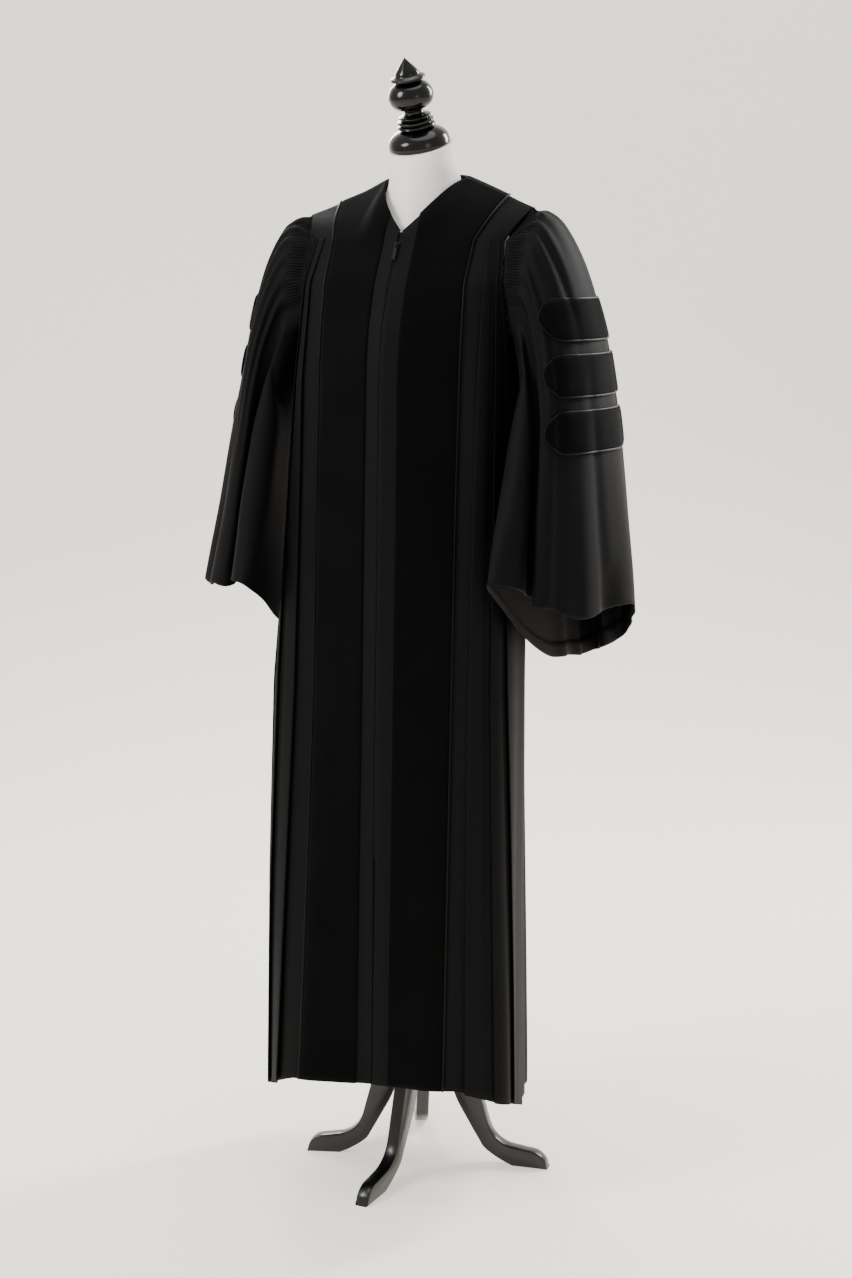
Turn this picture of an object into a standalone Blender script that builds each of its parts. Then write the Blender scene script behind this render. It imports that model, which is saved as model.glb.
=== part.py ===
"""Doctoral graduation gown on a limbless dress form with a turned neck cap and a four-legged stand.

Metres, +Z up. The figure faces -Y, its left side is +X, and the floor is z = 0.
Every cloth panel is a thin wall lofted through sections that come from the tables below, in millimetres.
"""
import math

import bmesh
import bpy
import numpy as np
from mathutils import Matrix, Vector

MM = 0.001
SEAM = 0.30            # gap between pieces that are sewn together
WALL = 1.5             # gown cloth with its turned hems
VELVET_WALL = 1.8
LEFT, RIGHT = 1, -1    # the figure's own sides: left is +X

# ---- driving sizes, mm ----
STRIP_WIDTH = 24.0     # cloth strip between the zip and the velvet
ZIP_HALF = 2.9         # half of the slot that shows the zip's chain
YOKE_Z = 1405.0        # horizontal seam of the yoke
PIPING_RADIUS = 1.8
BAR_HEIGHT = 54.0
BAR_PITCH = 77.0
BAR_TOP_Z = 1296.0     # middle of the highest bar
BAR_PIPING_RADIUS = 1.5
BAR_GAP = 1.6          # bars lie flat across the sleeve's facets, so they clear them by more than a seam
ZIP_TOP_Z = 1398.0
ZIP_END_Z = 520.0
POLE_RADIUS = 14.0
LEG_WIDTH = 20.0
# Folding legs: the way each points, in degrees, and how far it is spread.
LEG_TURNS = {"leg_left": (6, 1.05), "leg_back": (115, 1.0),
             "leg_right": (196, 0.98), "leg_front": (266, 1.17)}
STAND_CENTRE = (6.0, 0.0)
HUB_PROFILE = ((20, 146), (25, 150), (25, 234), (20, 240), (20, 246))
BAR_POINT = 34.0       # length of a bar's rounded point
BAR_FRONT = {LEFT: (124.0, 140.0, 153.0), RIGHT: (62.0, 60.0, 58.0)}   # front tips, from the outer line
BAR_BACK = {LEFT: (112.0, 98.0, 92.0), RIGHT: (128.0, 140.0, 148.0)}      # back tips
# Side view of a leg, distance from the pole's axis and height: upper edge to the toe, then the sole back.
LEG_UPPER = ((25.4, 232), (46, 222), (63, 186), (77, 146), (91.5, 93), (104, 53), (124, 34.5), (150, 29),
             (171, 25.5), (184, 15), (189, 0))
LEG_LOWER = ((136, 0), (115, 10), (94, 24.5), (84, 40), (68.6, 67), (51, 100), (37, 140), (25.4, 162))

# One row for each level of the body. "edge" is the outer edge of the velvet, "hip" the corner of the
# side, "side" the front panel's side edge, "rear" the back panel's, "blade" the corner of the back.
LEVEL = ("z", "front_y", "edge_x", "edge_y", "hip_x", "hip_y", "side_x", "side_y",
         "rear_x", "rear_y", "blade_x", "blade_y", "back_y")
BODY_LEFT = (
    (1405, -88, 105, -66, 128, -60, 148, -51, 150, 58, 82, 80, 88),
    (1345, -123, 105, -104, 132, -94, 153, -79, 156, 76, 88, 101, 104),
    (1285, -146, 106, -117, 139, -101, 160, -72, 161, 68, 92, 106, 109),
    (1235, -155, 106, -124, 145, -105, 168, -40, 168, 38, 94, 107, 111),
    (1207, -157, 106, -126, 148, -106, 172, -2, 172, 2, 95, 106, 111),
    (1050, -163, 105, -135, 155, -112, 174, -18, 174, -18, 102, 99, 111),
    (765, -174, 105, -151, 168, -121, 173, -30, 173, -30, 116, 82, 110),
    (450, -186, 107, -172, 178, -140, 176, -42, 176, -42, 120, 84, 112),
    (160, -196, 110, -195, 187, -152, 184, -56, 184, -56, 122, 88, 114),
)
BODY_RIGHT = (
    (1405, -88, 108, -68, 129, -61, 148, -51, 150, 58, 82, 80, 88),
    (1345, -123, 105, -105, 134, -96, 153, -79, 156, 76, 88, 101, 104),
    (1285, -146, 105, -118, 141, -103, 160, -72, 161, 68, 92, 106, 109),
    (1235, -155, 105, -125, 147, -107, 168, -40, 168, 38, 94, 107, 111),
    (1207, -157, 105, -127, 150, -108, 172, -2, 172, 2, 95, 106, 111),
    (1050, -163, 105, -137, 160, -114, 178, -22, 178, -22, 102, 99, 111),
    (765, -174, 105, -154, 176, -130, 199, -44, 199, -44, 122, 90, 110),
    (450, -186, 108, -180, 180, -148, 205, -52, 205, -52, 136, 100, 112),
    (160, -196, 112, -203, 172, -171, 207, -78, 207, -78, 142, 102, 114),
)
HEM = {LEFT: (184, 190, 158, 128), RIGHT: (184, 178, 142, 112)}   # hem's height at the places below
HEM_PLACES = (0, 0.45, 0.75, 1)    # the zip, the velvet's edge, the hip and the side seam
HEM_BACK = 118

# Knife pleats of the fronts: how far each fold edge lies from the velvet's edge, at the levels below.
PLEAT_LEVELS = (1405, 1345, 1225, 765, 160)
PLEATS = {
    LEFT: {"first": (22, 28, 28, 27, 34), "second": (37, 46, 52, 57, 76), "third": (42, 52, 74, 84, 118)},
    RIGHT: {"first": (20, 29, 30, 34, 44), "second": (36, 45, 54, 68, 84), "third": (42, 52, 76, 96, 124)},
}
PLEAT_DEPTH = (0.8, 3.0, 5.0, 6.0, 7.0)

# Soft folds of the back: where across the back (0 = left side seam, 1 = right) and how far they stand out.
BACK_FOLDS = (
    ("left seam", 0.00, 0.0), ("left side", 0.07, 0.5), ("fold 1", 0.13, -0.6), ("fold 2", 0.20, 1.0),
    ("fold 3", 0.27, -0.8), ("fold 4", 0.34, 0.9), ("fold 5", 0.41, -1.0), ("fold 6", 0.47, 1.1),
    ("fold 7", 0.53, -1.0), ("fold 8", 0.60, 1.0), ("fold 9", 0.67, -0.7), ("fold 10", 0.75, 1.0),
    ("fold 11", 0.82, -0.9), ("fold 12", 0.90, 0.6), ("right side", 0.96, 0.2), ("right seam", 1.00, 0.0),
)
BACK_FOLD_DEPTH = {1405: 0.6, 1285: 4.0, 765: 10.0, 120: 15.0}

# Top edge of the yoke, from the zip to the sleeve: neckline, side of the neck, shoulder line.
NECK_AND_SHOULDER = (
    ("v", 0, -74, 1420), ("strip", 22, -60, 1442), ("neck 1", 39, -40, 1464), ("neck 2", 53, -8, 1485),
    ("neck side", 62, 30, 1497), ("velvet", 96, 21, 1484), ("velvet edge", 130, 12, 1470),
    ("yoke", 151, 6, 1461), ("tip", 172, 0, 1453),
)
SHOULDER_DROP = {LEFT: 0.0, RIGHT: 8.0}     # the right shoulder hangs lower
YOKE_ROWS = 5
# Lower edge of the velvet round the back of the neck, as a share of the yoke's height, shoulder to middle.
BAND_LOW = (0.88, 0.68, 0.52, 0.40, 0.31, 0.28)
BAND_GAP = 1.3
SHOULDER_GAP = 1.8     # front and back yoke meet at an angle, so their walls need more room
BACK_NECK = ((0, 72, 1502), (24, 68, 1501), (46, 54, 1499))

# Sleeve: one row for each section from the armhole to the hem.
SLEEVE = ("outer_x", "outer_z", "inner_x", "inner_z", "front_y", "back_y")
SLEEVE_RINGS = (
    (189, 1450, 181, 1190, -92, 98),
    (216, 1422, 188, 1155, -104, 110),
    (246, 1366, 193, 1105, -120, 122),
    (270, 1290, 197, 1055, -136, 134),
    (286, 1200, 199, 1000, -152, 144),
    (298, 1110, 201, 945, -168, 150),
    (308, 1020, 202, 890, -182, 154),
    (316, 950, 204, 840, -194, 158),
    (321, 893, 206, 800, -203, 160),
)
# Round the sleeve: place on the armhole, place on the bell (out, front, as parts of its half sizes),
# and how far the hem lies above the level of the section there.
SLEEVE_FOLDS = (
    ("outer", 0, 1.00, 0.00, 0),
    ("outer front", 22, 0.87, 0.36, 3),
    ("front round", 44, 0.50, 0.66, 14),
    ("main fold", 66, 0.10, 0.88, 44),
    ("main edge", 84, -0.32, 0.92, 62),
    ("valley", 97, -0.54, 0.72, 76),
    ("lobe side", 109, -0.76, 1.05, 100),
    ("lobe tip", 123, -1.25, 1.18, 122),
    ("lobe inner", 141, -1.30, 0.82, 92),
    ("inner front", 161, -1.14, 0.40, 42),
    ("inner", 182, -1.00, -0.05, 6),
    ("inner back", 204, -1.00, -0.48, -4),
    ("back lobe in", 224, -1.02, -0.86, -14),
    ("back lobe", 240, -0.72, -1.02, -24),
    ("back valley", 254, -0.36, -0.84, -30),
    ("back edge", 268, -0.06, -1.00, -34),
    ("back round", 302, 0.50, -0.82, -27),
    ("outer back", 334, 0.90, -0.42, -15),
)
SLEEVE_SHIFT = {LEFT: (0, 0, 0), RIGHT: (-2, 0, 20)}    # how far the hem hangs from the table's place
SLEEVE_RISE = {LEFT: 1.25, RIGHT: 0.88}             # how much its front lobes are drawn up
SLEEVE_REACH = {LEFT: 1.0, RIGHT: 0.84}             # and how far they stand forward
SLEEVE_BOW = {LEFT: 0, RIGHT: 14}                   # and its outer side, inwards on the right

# Dress form: height, half width, front, back, how square the section is (2 = ellipse), where it is widest.
FORM_SECTIONS = (
    (800, 138, -104, 84, 2.2, -10), (880, 146, -110, 90, 2.2, -10), (980, 140, -112, 86, 2.2, -13),
    (1080, 124, -118, 80, 2.2, -19), (1160, 136, -130, 88, 2.2, -21), (1230, 146, -136, 96, 2.2, -20),
    (1290, 148, -126, 96, 2.2, -15), (1345, 144, -100, 90, 2.2, -5), (1390, 138, -70, 72, 2.0, 1),
    (1418, 130, -58, 68, 1.5, 6), (1438, 111, -51, 64, 1.3, 10), (1456, 86, -47, 62, 1.35, 14),
    (1470, 66, -45, 59, 1.5, 17), (1484, 56, -44, 57, 1.7, 18), (1497, 52.5, -43.5, 56, 1.85, 16),
    (1508, 50.5, -43.5, 55, 1.95, 11), (1520, 47, -43.5, 53, 2.0, 6),
)
NECK_TILT = math.radians(20)   # the neck plate falls to the front
NECK_LEAN = math.radians(-3)   # and a little to the figure's right
NECK_TOP = Vector((-4, 4, 1541))

# Neck cap and finial, turned about one axis: radius and height above the neck plate.
CAP_PROFILE = ((44.5, 0.8), (44.5, 7), (42, 14), (36, 20), (28, 24.5), (20, 27), (14, 28.5))
COLLAR_PROFILE = ((13, 28.8), (27, 28.8), (27, 32), (23, 33.5), (26, 35.5), (26, 38.5), (20, 40.5),
                  (23, 42.5), (23, 45), (15, 48), (13.5, 51), (15, 54))
KNOB_PROFILE = ((15.3, 54.4), (24, 57.5), (30, 63.5), (32.6, 72), (32, 79), (27.5, 87), (20, 93), (16, 95.5))
TIP_PROFILE = ((16.5, 95.9), (24.5, 97.4), (24.8, 100.5), (19, 103), (17.5, 105.5), (16, 109), (7, 120),
               (0.8, 128))


# ---- small helpers ----
def column(rows, names, name, z):
    """Value of a named column at a height, between a table's rows."""
    heights = [row[0] for row in reversed(rows)]
    values = [row[names.index(name)] for row in reversed(rows)]
    return float(np.interp(z, heights, values))


def level_value(levels, values, z):
    return float(np.interp(z, levels[::-1], values[::-1]))


def smooth_curve(points, steps):
    """Open Catmull-Rom curve through the points, with this many steps between each two."""
    pts = [Vector(p) for p in points]
    pts = [pts[0] * 2 - pts[1]] + pts + [pts[-1] * 2 - pts[-2]]
    curve = []
    for i in range(1, len(pts) - 2):
        p0, p1, p2, p3 = pts[i - 1:i + 3]
        for k in range(steps):
            t = k / steps
            curve.append(0.5 * (2 * p1 + (p2 - p0) * t + (2 * p0 - 5 * p1 + 4 * p2 - p3) * t ** 2
                                + (3 * p1 - p0 - 3 * p2 + p3) * t ** 3))
    curve.append(pts[-2].copy())
    return curve


def lengths(curve):
    run = [0.0]
    for a, b in zip(curve, curve[1:]):
        run.append(run[-1] + (b - a).length)
    return run


def point_at(curve, run, distance):
    """Point at a distance along a curve, and the curve's direction there."""
    distance = min(max(distance, 0.0), run[-1])
    i = min(int(np.searchsorted(run, distance, side="right")) - 1, len(curve) - 2)
    part = (distance - run[i]) / max(run[i + 1] - run[i], 1e-9)
    return curve[i].lerp(curve[i + 1], part), (curve[i + 1] - curve[i]).normalized()


def material(name, colour, roughness, metallic=0.0):
    m = bpy.data.materials.new(name)
    m.use_nodes = True
    shader = m.node_tree.nodes["Principled BSDF"]
    shader.inputs["Base Color"].default_value = (*colour, 1)
    shader.inputs["Roughness"].default_value = roughness
    shader.inputs["Metallic"].default_value = metallic
    return m


def add_object(name, bm, mat, smooth=True):
    bmesh.ops.recalc_face_normals(bm, faces=bm.faces)
    mesh = bpy.data.meshes.new(name)
    bm.to_mesh(mesh)
    bm.free()
    obj = bpy.data.objects.new(name, mesh)
    bpy.context.scene.collection.objects.link(obj)
    mesh.materials.append(mat)
    if smooth:
        mesh.shade_smooth()
        mesh.set_sharp_from_angle(angle=math.radians(40))
    return obj


def grid_normals(grid, closed):
    """Outward normal at each point of a grid whose columns run to the right, seen from outside."""
    pts = np.array([[tuple(p) for p in row] for row in grid])
    if closed:
        across = np.roll(pts, -1, axis=1) - np.roll(pts, 1, axis=1)
    else:
        across = np.gradient(pts, axis=1)
    along = np.gradient(pts, axis=0)
    normal = np.cross(across, along)
    size = np.linalg.norm(normal, axis=2, keepdims=True)
    return normal / np.maximum(size, 1e-9)


def cloth(name, grid, mat, wall=WALL, lift=0.0, closed=False):
    """Wall of cloth on a grid of points in mm: rows go up, columns run round. It grows inwards."""
    pts = np.array([[tuple(p) for p in row] for row in grid])
    normal = grid_normals(grid, closed)
    outer = pts + normal * lift
    inner = outer - normal * wall
    bm = bmesh.new()
    skins = [[[bm.verts.new(Vector(p) * MM) for p in row] for row in skin] for skin in (outer, inner)]
    rows, cols = pts.shape[:2]
    last = cols if closed else cols - 1
    for r in range(rows - 1):
        for c in range(last):
            d = (c + 1) % cols
            for skin in skins:
                bm.faces.new((skin[r][c], skin[r][d], skin[r + 1][d], skin[r + 1][c]))
    for r in (0, rows - 1):
        for c in range(last):
            d = (c + 1) % cols
            bm.faces.new((skins[0][r][c], skins[0][r][d], skins[1][r][d], skins[1][r][c]))
    if not closed:
        for c in (0, cols - 1):
            for r in range(rows - 1):
                bm.faces.new((skins[0][r][c], skins[0][r + 1][c], skins[1][r + 1][c], skins[1][r][c]))
    return add_object(name, bm, mat)


def inset(grid, left=0.0, right=0.0, bottom=0.0, top=0.0):
    """Pulls a grid's edges in by a few tenths, for the gap at each seam."""
    grid = [[Vector(p) for p in row] for row in grid]
    for row in grid:
        row[0] += (row[1] - row[0]).normalized() * left
        row[-1] += (row[-2] - row[-1]).normalized() * right
    for c in range(len(grid[0])):
        grid[0][c] += (grid[1][c] - grid[0][c]).normalized() * bottom
        grid[-1][c] += (grid[-2][c] - grid[-1][c]).normalized() * top
    return grid


def cord(name, path, radius, mat, sides=6, closed=False):
    """Round cord along a path in mm."""
    bm = bmesh.new()
    pts = [Vector(p) for p in path]
    count = len(pts)
    rings = []
    frame_up = None
    for i, p in enumerate(pts):
        ahead = pts[(i + 1) % count] if closed or i < count - 1 else p
        behind = pts[i - 1] if closed or i > 0 else p
        run = (ahead - behind).normalized()
        if frame_up is None:
            frame_up = run.orthogonal().normalized()
        frame_up = (frame_up - run * frame_up.dot(run)).normalized()
        side = run.cross(frame_up)
        ring = []
        for k in range(sides):
            a = 2 * math.pi * k / sides
            ring.append(bm.verts.new((p + (frame_up * math.cos(a) + side * math.sin(a)) * radius) * MM))
        rings.append(ring)
    shift = 0
    if closed:
        first, final = rings[0], rings[-1]
        shift = min(range(sides), key=lambda s: sum((final[k].co - first[(k + s) % sides].co).length
                                                    for k in range(sides)))
    for i in range(count if closed else count - 1):
        a, b = rings[i], rings[(i + 1) % count]
        turn = shift if closed and i == count - 1 else 0
        for k in range(sides):
            n = (k + 1) % sides
            bm.faces.new((a[k], a[n], b[(n + turn) % sides], b[(k + turn) % sides]))
    if not closed:
        bm.faces.new(rings[0])
        bm.faces.new(rings[-1])
    return add_object(name, bm, mat)


def turned(name, profile, mat, place, sides=32):
    """Solid turned about its own Z from (radius, height) rows in mm, then put in its place."""
    bm = bmesh.new()
    rings = []
    for radius, height in profile:
        ring = []
        for k in range(sides):
            a = 2 * math.pi * k / sides
            spot = Vector((radius * math.cos(a), radius * math.sin(a), height))
            ring.append(bm.verts.new(place @ spot * MM))
        rings.append(ring)
    for a, b in zip(rings, rings[1:]):
        for k in range(sides):
            n = (k + 1) % sides
            bm.faces.new((a[k], a[n], b[n], b[k]))
    bm.faces.new(rings[0])
    bm.faces.new(rings[-1])
    return add_object(name, bm, mat)


# ---- the body's surface ----
def body_table(side):
    return BODY_LEFT if side == LEFT else BODY_RIGHT


def front_outline(side, z):
    """Plan curve of one front at a height, from the centre to the side edge, and where the velvet ends."""
    rows = body_table(side)

    def at(name):
        return column(rows, LEVEL, name, z)
    keys = [(0, at("front_y"), 0), (at("edge_x") * 0.5, at("front_y") * 0.55 + at("edge_y") * 0.45, 0),
            (at("edge_x"), at("edge_y"), 0), (at("hip_x"), at("hip_y"), 0), (at("side_x"), at("side_y"), 0)]
    curve = smooth_curve(keys, 8)
    run = lengths(curve)
    return curve, run, run[16]


def pleat_lift(side, z, distance, beyond):
    """How far a knife pleat stands out at a distance beyond the velvet's edge."""
    edges = [level_value(PLEAT_LEVELS, rows, z) for rows in PLEATS[side].values()] + [beyond]
    depth = level_value(PLEAT_LEVELS, PLEAT_DEPTH, z)
    for start, end in zip(edges, edges[1:]):
        if start + 0.5 < distance <= end + 0.5:
            return depth * (1 - 0.75 * (distance - start) / max(end - start, 1.0))
    return 0.0


def front_columns(side, z):
    """Distances from the centre of one front's columns: strip, velvet, pleats and side."""
    _, run, edge = front_outline(side, z)
    total = run[-1]
    velvet = [STRIP_WIDTH + (edge - STRIP_WIDTH) * k / 5 for k in range(6)]
    opening = ZIP_HALF if z >= 450 else 1.0
    places = [opening, (ZIP_HALF + STRIP_WIDTH) / 2] + velvet
    room = total - edge
    starts = [min(level_value(PLEAT_LEVELS, row, z), room * 0.96 - 2 * (2 - i)) for i, row in
              enumerate(PLEATS[side].values())]
    for i, start in enumerate(starts):
        places += [edge + start, edge + start + 1.2]
        if i < 2:
            places.append(edge + (start + starts[i + 1]) / 2 + 0.6)
    last = places[-1]
    places += [last + (total - last) * k / 3 for k in (1, 2, 3)]
    return places


def hem_height(side, share):
    """Height of the hem, where share runs from the zip (0) over the velvet's edge (0.45) to the side (1)."""
    return float(np.interp(share, HEM_PLACES, HEM[side]))


def front_point(side, z, distance):
    curve, run, edge = front_outline(side, z)
    p, direction = point_at(curve, run, distance)
    out = Vector((direction.y, -direction.x, 0))
    p = p + out * pleat_lift(side, z, distance - edge, run[-1] - edge)
    return Vector((p.x * side, p.y, z))


FRONT_LEVELS = (1404, 1375, 1345, 1315, 1285, 1235, 1207, 1050, 765, 450)


def front_grid(side, first=None, final=None):
    """Grid of one front from the hem to the yoke seam; columns run from the zip to the side."""
    grid = []
    count = len(front_columns(side, 765))
    hem_row = []
    for c in range(count):
        distance = front_columns(side, 160)[c]
        z = hem_height(side, c / (count - 1))
        hem_row.append(front_point(side, z, distance))
    grid.append(hem_row)
    for z in reversed(FRONT_LEVELS):
        grid.append([front_point(side, z, d) for d in front_columns(side, z)])
    return [row[first:final] for row in grid]


def oriented(grid, side):
    """Columns run towards +X seen from outside in front, so that normals point out on both sides."""
    return grid if side == LEFT else [row[::-1] for row in grid]


# ---- yoke ----
def settled(p):
    """Point of the upper gown with its shoulder let down."""
    side = LEFT if p.x > 0 else RIGHT
    share = min(max((abs(p.x) - 50) / 46, 0), 1) * min(max((p.z - YOKE_Z) / 48, 0), 1)
    return p - Vector((0, 0, SHOULDER_DROP[side] * share))


def yoke_grid(side, first=None, final=None):
    """Front yoke from its seam up to the neckline and the shoulder line."""
    _, _, edge = front_outline(side, YOKE_Z)
    total = front_outline(side, YOKE_Z)[1][-1]
    places = [ZIP_HALF] + [STRIP_WIDTH + (edge - STRIP_WIDTH) * k / 5 for k in range(6)]
    places += [(edge + total) / 2, total]
    curve, run, _ = front_outline(side, YOKE_Z)
    columns = []
    for (name, x, y, z), distance in zip(NECK_AND_SHOULDER, places):
        low, _ = point_at(curve, run, distance)
        low = Vector((low.x, low.y, YOKE_Z + 0.6))
        high = Vector((max(x, ZIP_HALF), y, z))
        rise = high - low
        bulge = Vector((0.25, -0.75, 0.55)) * min(rise.length, 90) * 0.07
        column_points = [low + rise * (k / YOKE_ROWS) + bulge * math.sin(math.pi * k / YOKE_ROWS)
                         for k in range(YOKE_ROWS + 1)]
        columns.append([settled(Vector((p.x * side, p.y, p.z))) for p in column_points])
    grid = [[col[r] for col in columns] for r in range(YOKE_ROWS + 1)]
    return [row[first:final] for row in grid]


def back_outline(z):
    """Plan curve of the back at a height, from the left side edge to the right one."""
    left = {n: column(BODY_LEFT, LEVEL, n, z) for n in LEVEL}
    right = {n: column(BODY_RIGHT, LEVEL, n, z) for n in LEVEL}
    keys = [(left["rear_x"], left["rear_y"], 0), (left["blade_x"] * 0.45 + left["rear_x"] * 0.55,
            left["blade_y"] * 0.62 + left["rear_y"] * 0.38, 0), (left["blade_x"], left["blade_y"], 0),
            (0, left["back_y"], 0), (-right["blade_x"], right["blade_y"], 0),
            (-right["blade_x"] * 0.45 - right["rear_x"] * 0.55,
             right["blade_y"] * 0.62 + right["rear_y"] * 0.38, 0),
            (-right["rear_x"], right["rear_y"], 0)]
    curve = smooth_curve(keys, 8)
    return curve, lengths(curve)


def back_point(z, share):
    curve, run = back_outline(z)
    p, direction = point_at(curve, run, share * run[-1])
    out = Vector((direction.y, -direction.x, 0))
    levels = sorted(BACK_FOLD_DEPTH)
    depth = float(np.interp(z, levels, [BACK_FOLD_DEPTH[k] for k in levels]))
    fold = float(np.interp(share, [f[1] for f in BACK_FOLDS], [f[2] for f in BACK_FOLDS]))
    p = p + out * depth * fold * 0.5
    return Vector((p.x, p.y, z))


def back_shares():
    marks = [f[1] for f in BACK_FOLDS]
    shares = []
    for a, b in zip(marks, marks[1:]):
        shares += [a, (a + b) / 2]
    return shares + [1.0]


def back_grid():
    rows = []
    shares = back_shares()
    for z in (HEM_BACK,) + tuple(reversed(FRONT_LEVELS)):
        rows.append([back_point(z, s) for s in shares])
    return rows


def back_yoke_grid(first=None, final=None):
    """Back yoke from its seam up to the shoulder lines and the back of the neckline."""
    top = [Vector(row[1:]) for row in NECK_AND_SHOULDER[:3:-1]]
    top += [Vector(BACK_NECK[2]), Vector(BACK_NECK[1]), Vector(BACK_NECK[0])]
    top = top + [Vector((-p.x, p.y, p.z)) for p in top[-2::-1]]
    top = [p + Vector((0, SHOULDER_GAP if abs(p.x) > 60 else 0, 0)) for p in top]
    curve, run = back_outline(YOKE_Z)
    grid = []
    count = len(top)
    half = [0, 0.07, 0.14, 0.22, 0.30, 0.355, 0.43, 0.5]
    shares = half + [1 - s for s in half[-2::-1]]
    for r in range(YOKE_ROWS + 1):
        t = r / YOKE_ROWS
        row = []
        for c in range(count):
            low, _ = point_at(curve, run, shares[c] * run[-1])
            low = Vector((low.x, low.y, YOKE_Z + 0.6))
            rise = top[c] - low
            bulge = Vector((0, 0.75, 0.55)) * min(rise.length, 90) * 0.10
            row.append(settled(low + rise * t + bulge * math.sin(math.pi * t)))
        grid.append(row)
    return [row[first:final] for row in grid]


# ---- sleeves ----
def armhole_point(angle):
    """Edge of the armhole: 0 at the shoulder tip, 90 towards the front, 180 under the arm."""
    tip = NECK_AND_SHOULDER[-1]
    stations = [(0, Vector(tip[1:]))]
    for place, z in ((38, 1405), (72, 1345), (106, 1285), (140, 1235), (180, 1207)):
        stations.append((place, Vector((column(BODY_LEFT, LEVEL, "side_x", z),
                                        column(BODY_LEFT, LEVEL, "side_y", z), z))))
    for place, z in ((220, 1235), (254, 1285), (288, 1345), (322, 1405)):
        stations.append((place, Vector((column(BODY_LEFT, LEVEL, "rear_x", z),
                                        column(BODY_LEFT, LEVEL, "rear_y", z), z))))
    stations.append((360, Vector(tip[1:])))
    places = [s[0] for s in stations]
    return Vector([float(np.interp(angle % 360, places, [s[1][k] for s in stations])) for k in range(3)])


def sleeve_section(side, ring, round_steps):
    """One closed section of the sleeve; ring 0 is the armhole and the last one is the hem."""
    last = len(SLEEVE_RINGS)
    rows = []
    for _, arm, out, front, lift in SLEEVE_FOLDS:
        if ring == 0:
            rows.append(armhole_point(arm) + Vector((1.2, 0, 0)))
            continue
        size = dict(zip(SLEEVE, SLEEVE_RINGS[ring - 1]))
        blend = (ring / last) ** 0.55
        a = math.radians(arm)
        u = math.cos(a) * (1 - blend) + out * blend
        reach = SLEEVE_REACH[side] if front > 0 else 1.0
        v = math.sin(a) * (1 - blend) + front * reach * blend
        outer = Vector((size["outer_x"], 0, size["outer_z"]))
        inner = Vector((size["inner_x"], 0, size["inner_z"]))
        middle_y = (size["front_y"] + size["back_y"]) / 2
        half_y = (size["back_y"] - size["front_y"]) / 2
        p = (outer + inner) / 2 + (outer - inner) / 2 * u
        p.y = middle_y - half_y * v
        p.z += lift * (SLEEVE_RISE[side] if lift > 0 else 1.0) * (ring / last) ** 1.6
        rows.append(p)
    ring_points = [rows[-1]] + rows + rows[:2]
    curve = smooth_curve(ring_points, round_steps)
    return curve[round_steps:round_steps * (len(rows) + 1)]


def sleeve_grid(side, round_steps=2):
    """Closed sections from the hem, which turns under, up to the armhole."""
    rings = [sleeve_section(side, r, round_steps) for r in range(len(SLEEVE_RINGS), -1, -1)]
    hem = rings[0]
    count = len(hem)
    turned_rows = []
    for inwards, down in ((9.0, 3.0), (4.0, 5.0)):
        row = []
        for c in range(count):
            run = (hem[(c + 1) % count] - hem[c - 1]).normalized()
            into = run.cross(Vector((0, 0, 1))).normalized()
            row.append(hem[c] + into * inwards + Vector((0, 0, -down)))
        turned_rows.append(row)
    rings = turned_rows + rings
    shift = Vector(SLEEVE_SHIFT[side])
    grid = []
    for r, ring in enumerate(rings):
        share = 1 - r / (len(rings) - 1)
        bow = SLEEVE_BOW[side] * math.sin(math.pi * share)
        row = []
        for p in ring:
            bowed = p.x * side + bow * min(max((p.x - 205) / 60, 0), 1)
            row.append(settled(Vector((bowed, p.y, p.z)) + shift * share))
        grid.append(row)
    return grid


def on_grid(grid, u, v):
    """Point of a closed grid at a column and a row that needn't be whole."""
    cols = len(grid[0])
    v = min(max(v, 0.0), len(grid) - 1.001)
    r, c = int(v), int(math.floor(u))
    below = grid[r][c % cols].lerp(grid[r][(c + 1) % cols], u - c)
    above = grid[r + 1][c % cols].lerp(grid[r + 1][(c + 1) % cols], u - c)
    return below.lerp(above, v - r)


def at_height(grid, u, z):
    """Point of a closed grid at a column and a height."""
    low, high = 2.0, len(grid) - 1.0
    for _ in range(24):
        middle = (low + high) / 2
        if on_grid(grid, u, middle).z < z:
            low = middle
        else:
            high = middle
    return on_grid(grid, u, low)


class SleeveChart:
    """Places on a sleeve given in mm: along its girth from the outer line, forwards positive, and height."""

    def __init__(self, grid, z):
        self.grid = grid
        marks = [k * 0.5 for k in range(-22, 19)]
        points = [at_height(grid, u, z) for u in marks]
        run = lengths(points)
        start = float(np.interp(0, marks, run))
        self.marks = marks
        self.along = [r - start for r in run]

    def point(self, along, z, side):
        u = float(np.interp(along, self.along, self.marks))
        p = at_height(self.grid, u, z)
        forward = at_height(self.grid, u + 0.3, z) - at_height(self.grid, u - 0.3, z)
        upward = at_height(self.grid, u, z + 6) - at_height(self.grid, u, z - 6)
        normal = upward.cross(forward).normalized() * side
        return p, normal


def bar_half_height(along, front_tip, back_tip):
    """Half the bar's height at a place along it: straight, with rounded points at both ends."""
    room = min(front_tip - along, along + back_tip)
    part = min(max(room / BAR_POINT, 0.0), 1.0)
    return BAR_HEIGHT / 2 * max(math.sqrt(1 - (1 - part) ** 2.0), 0.0) ** 1.15


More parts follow.
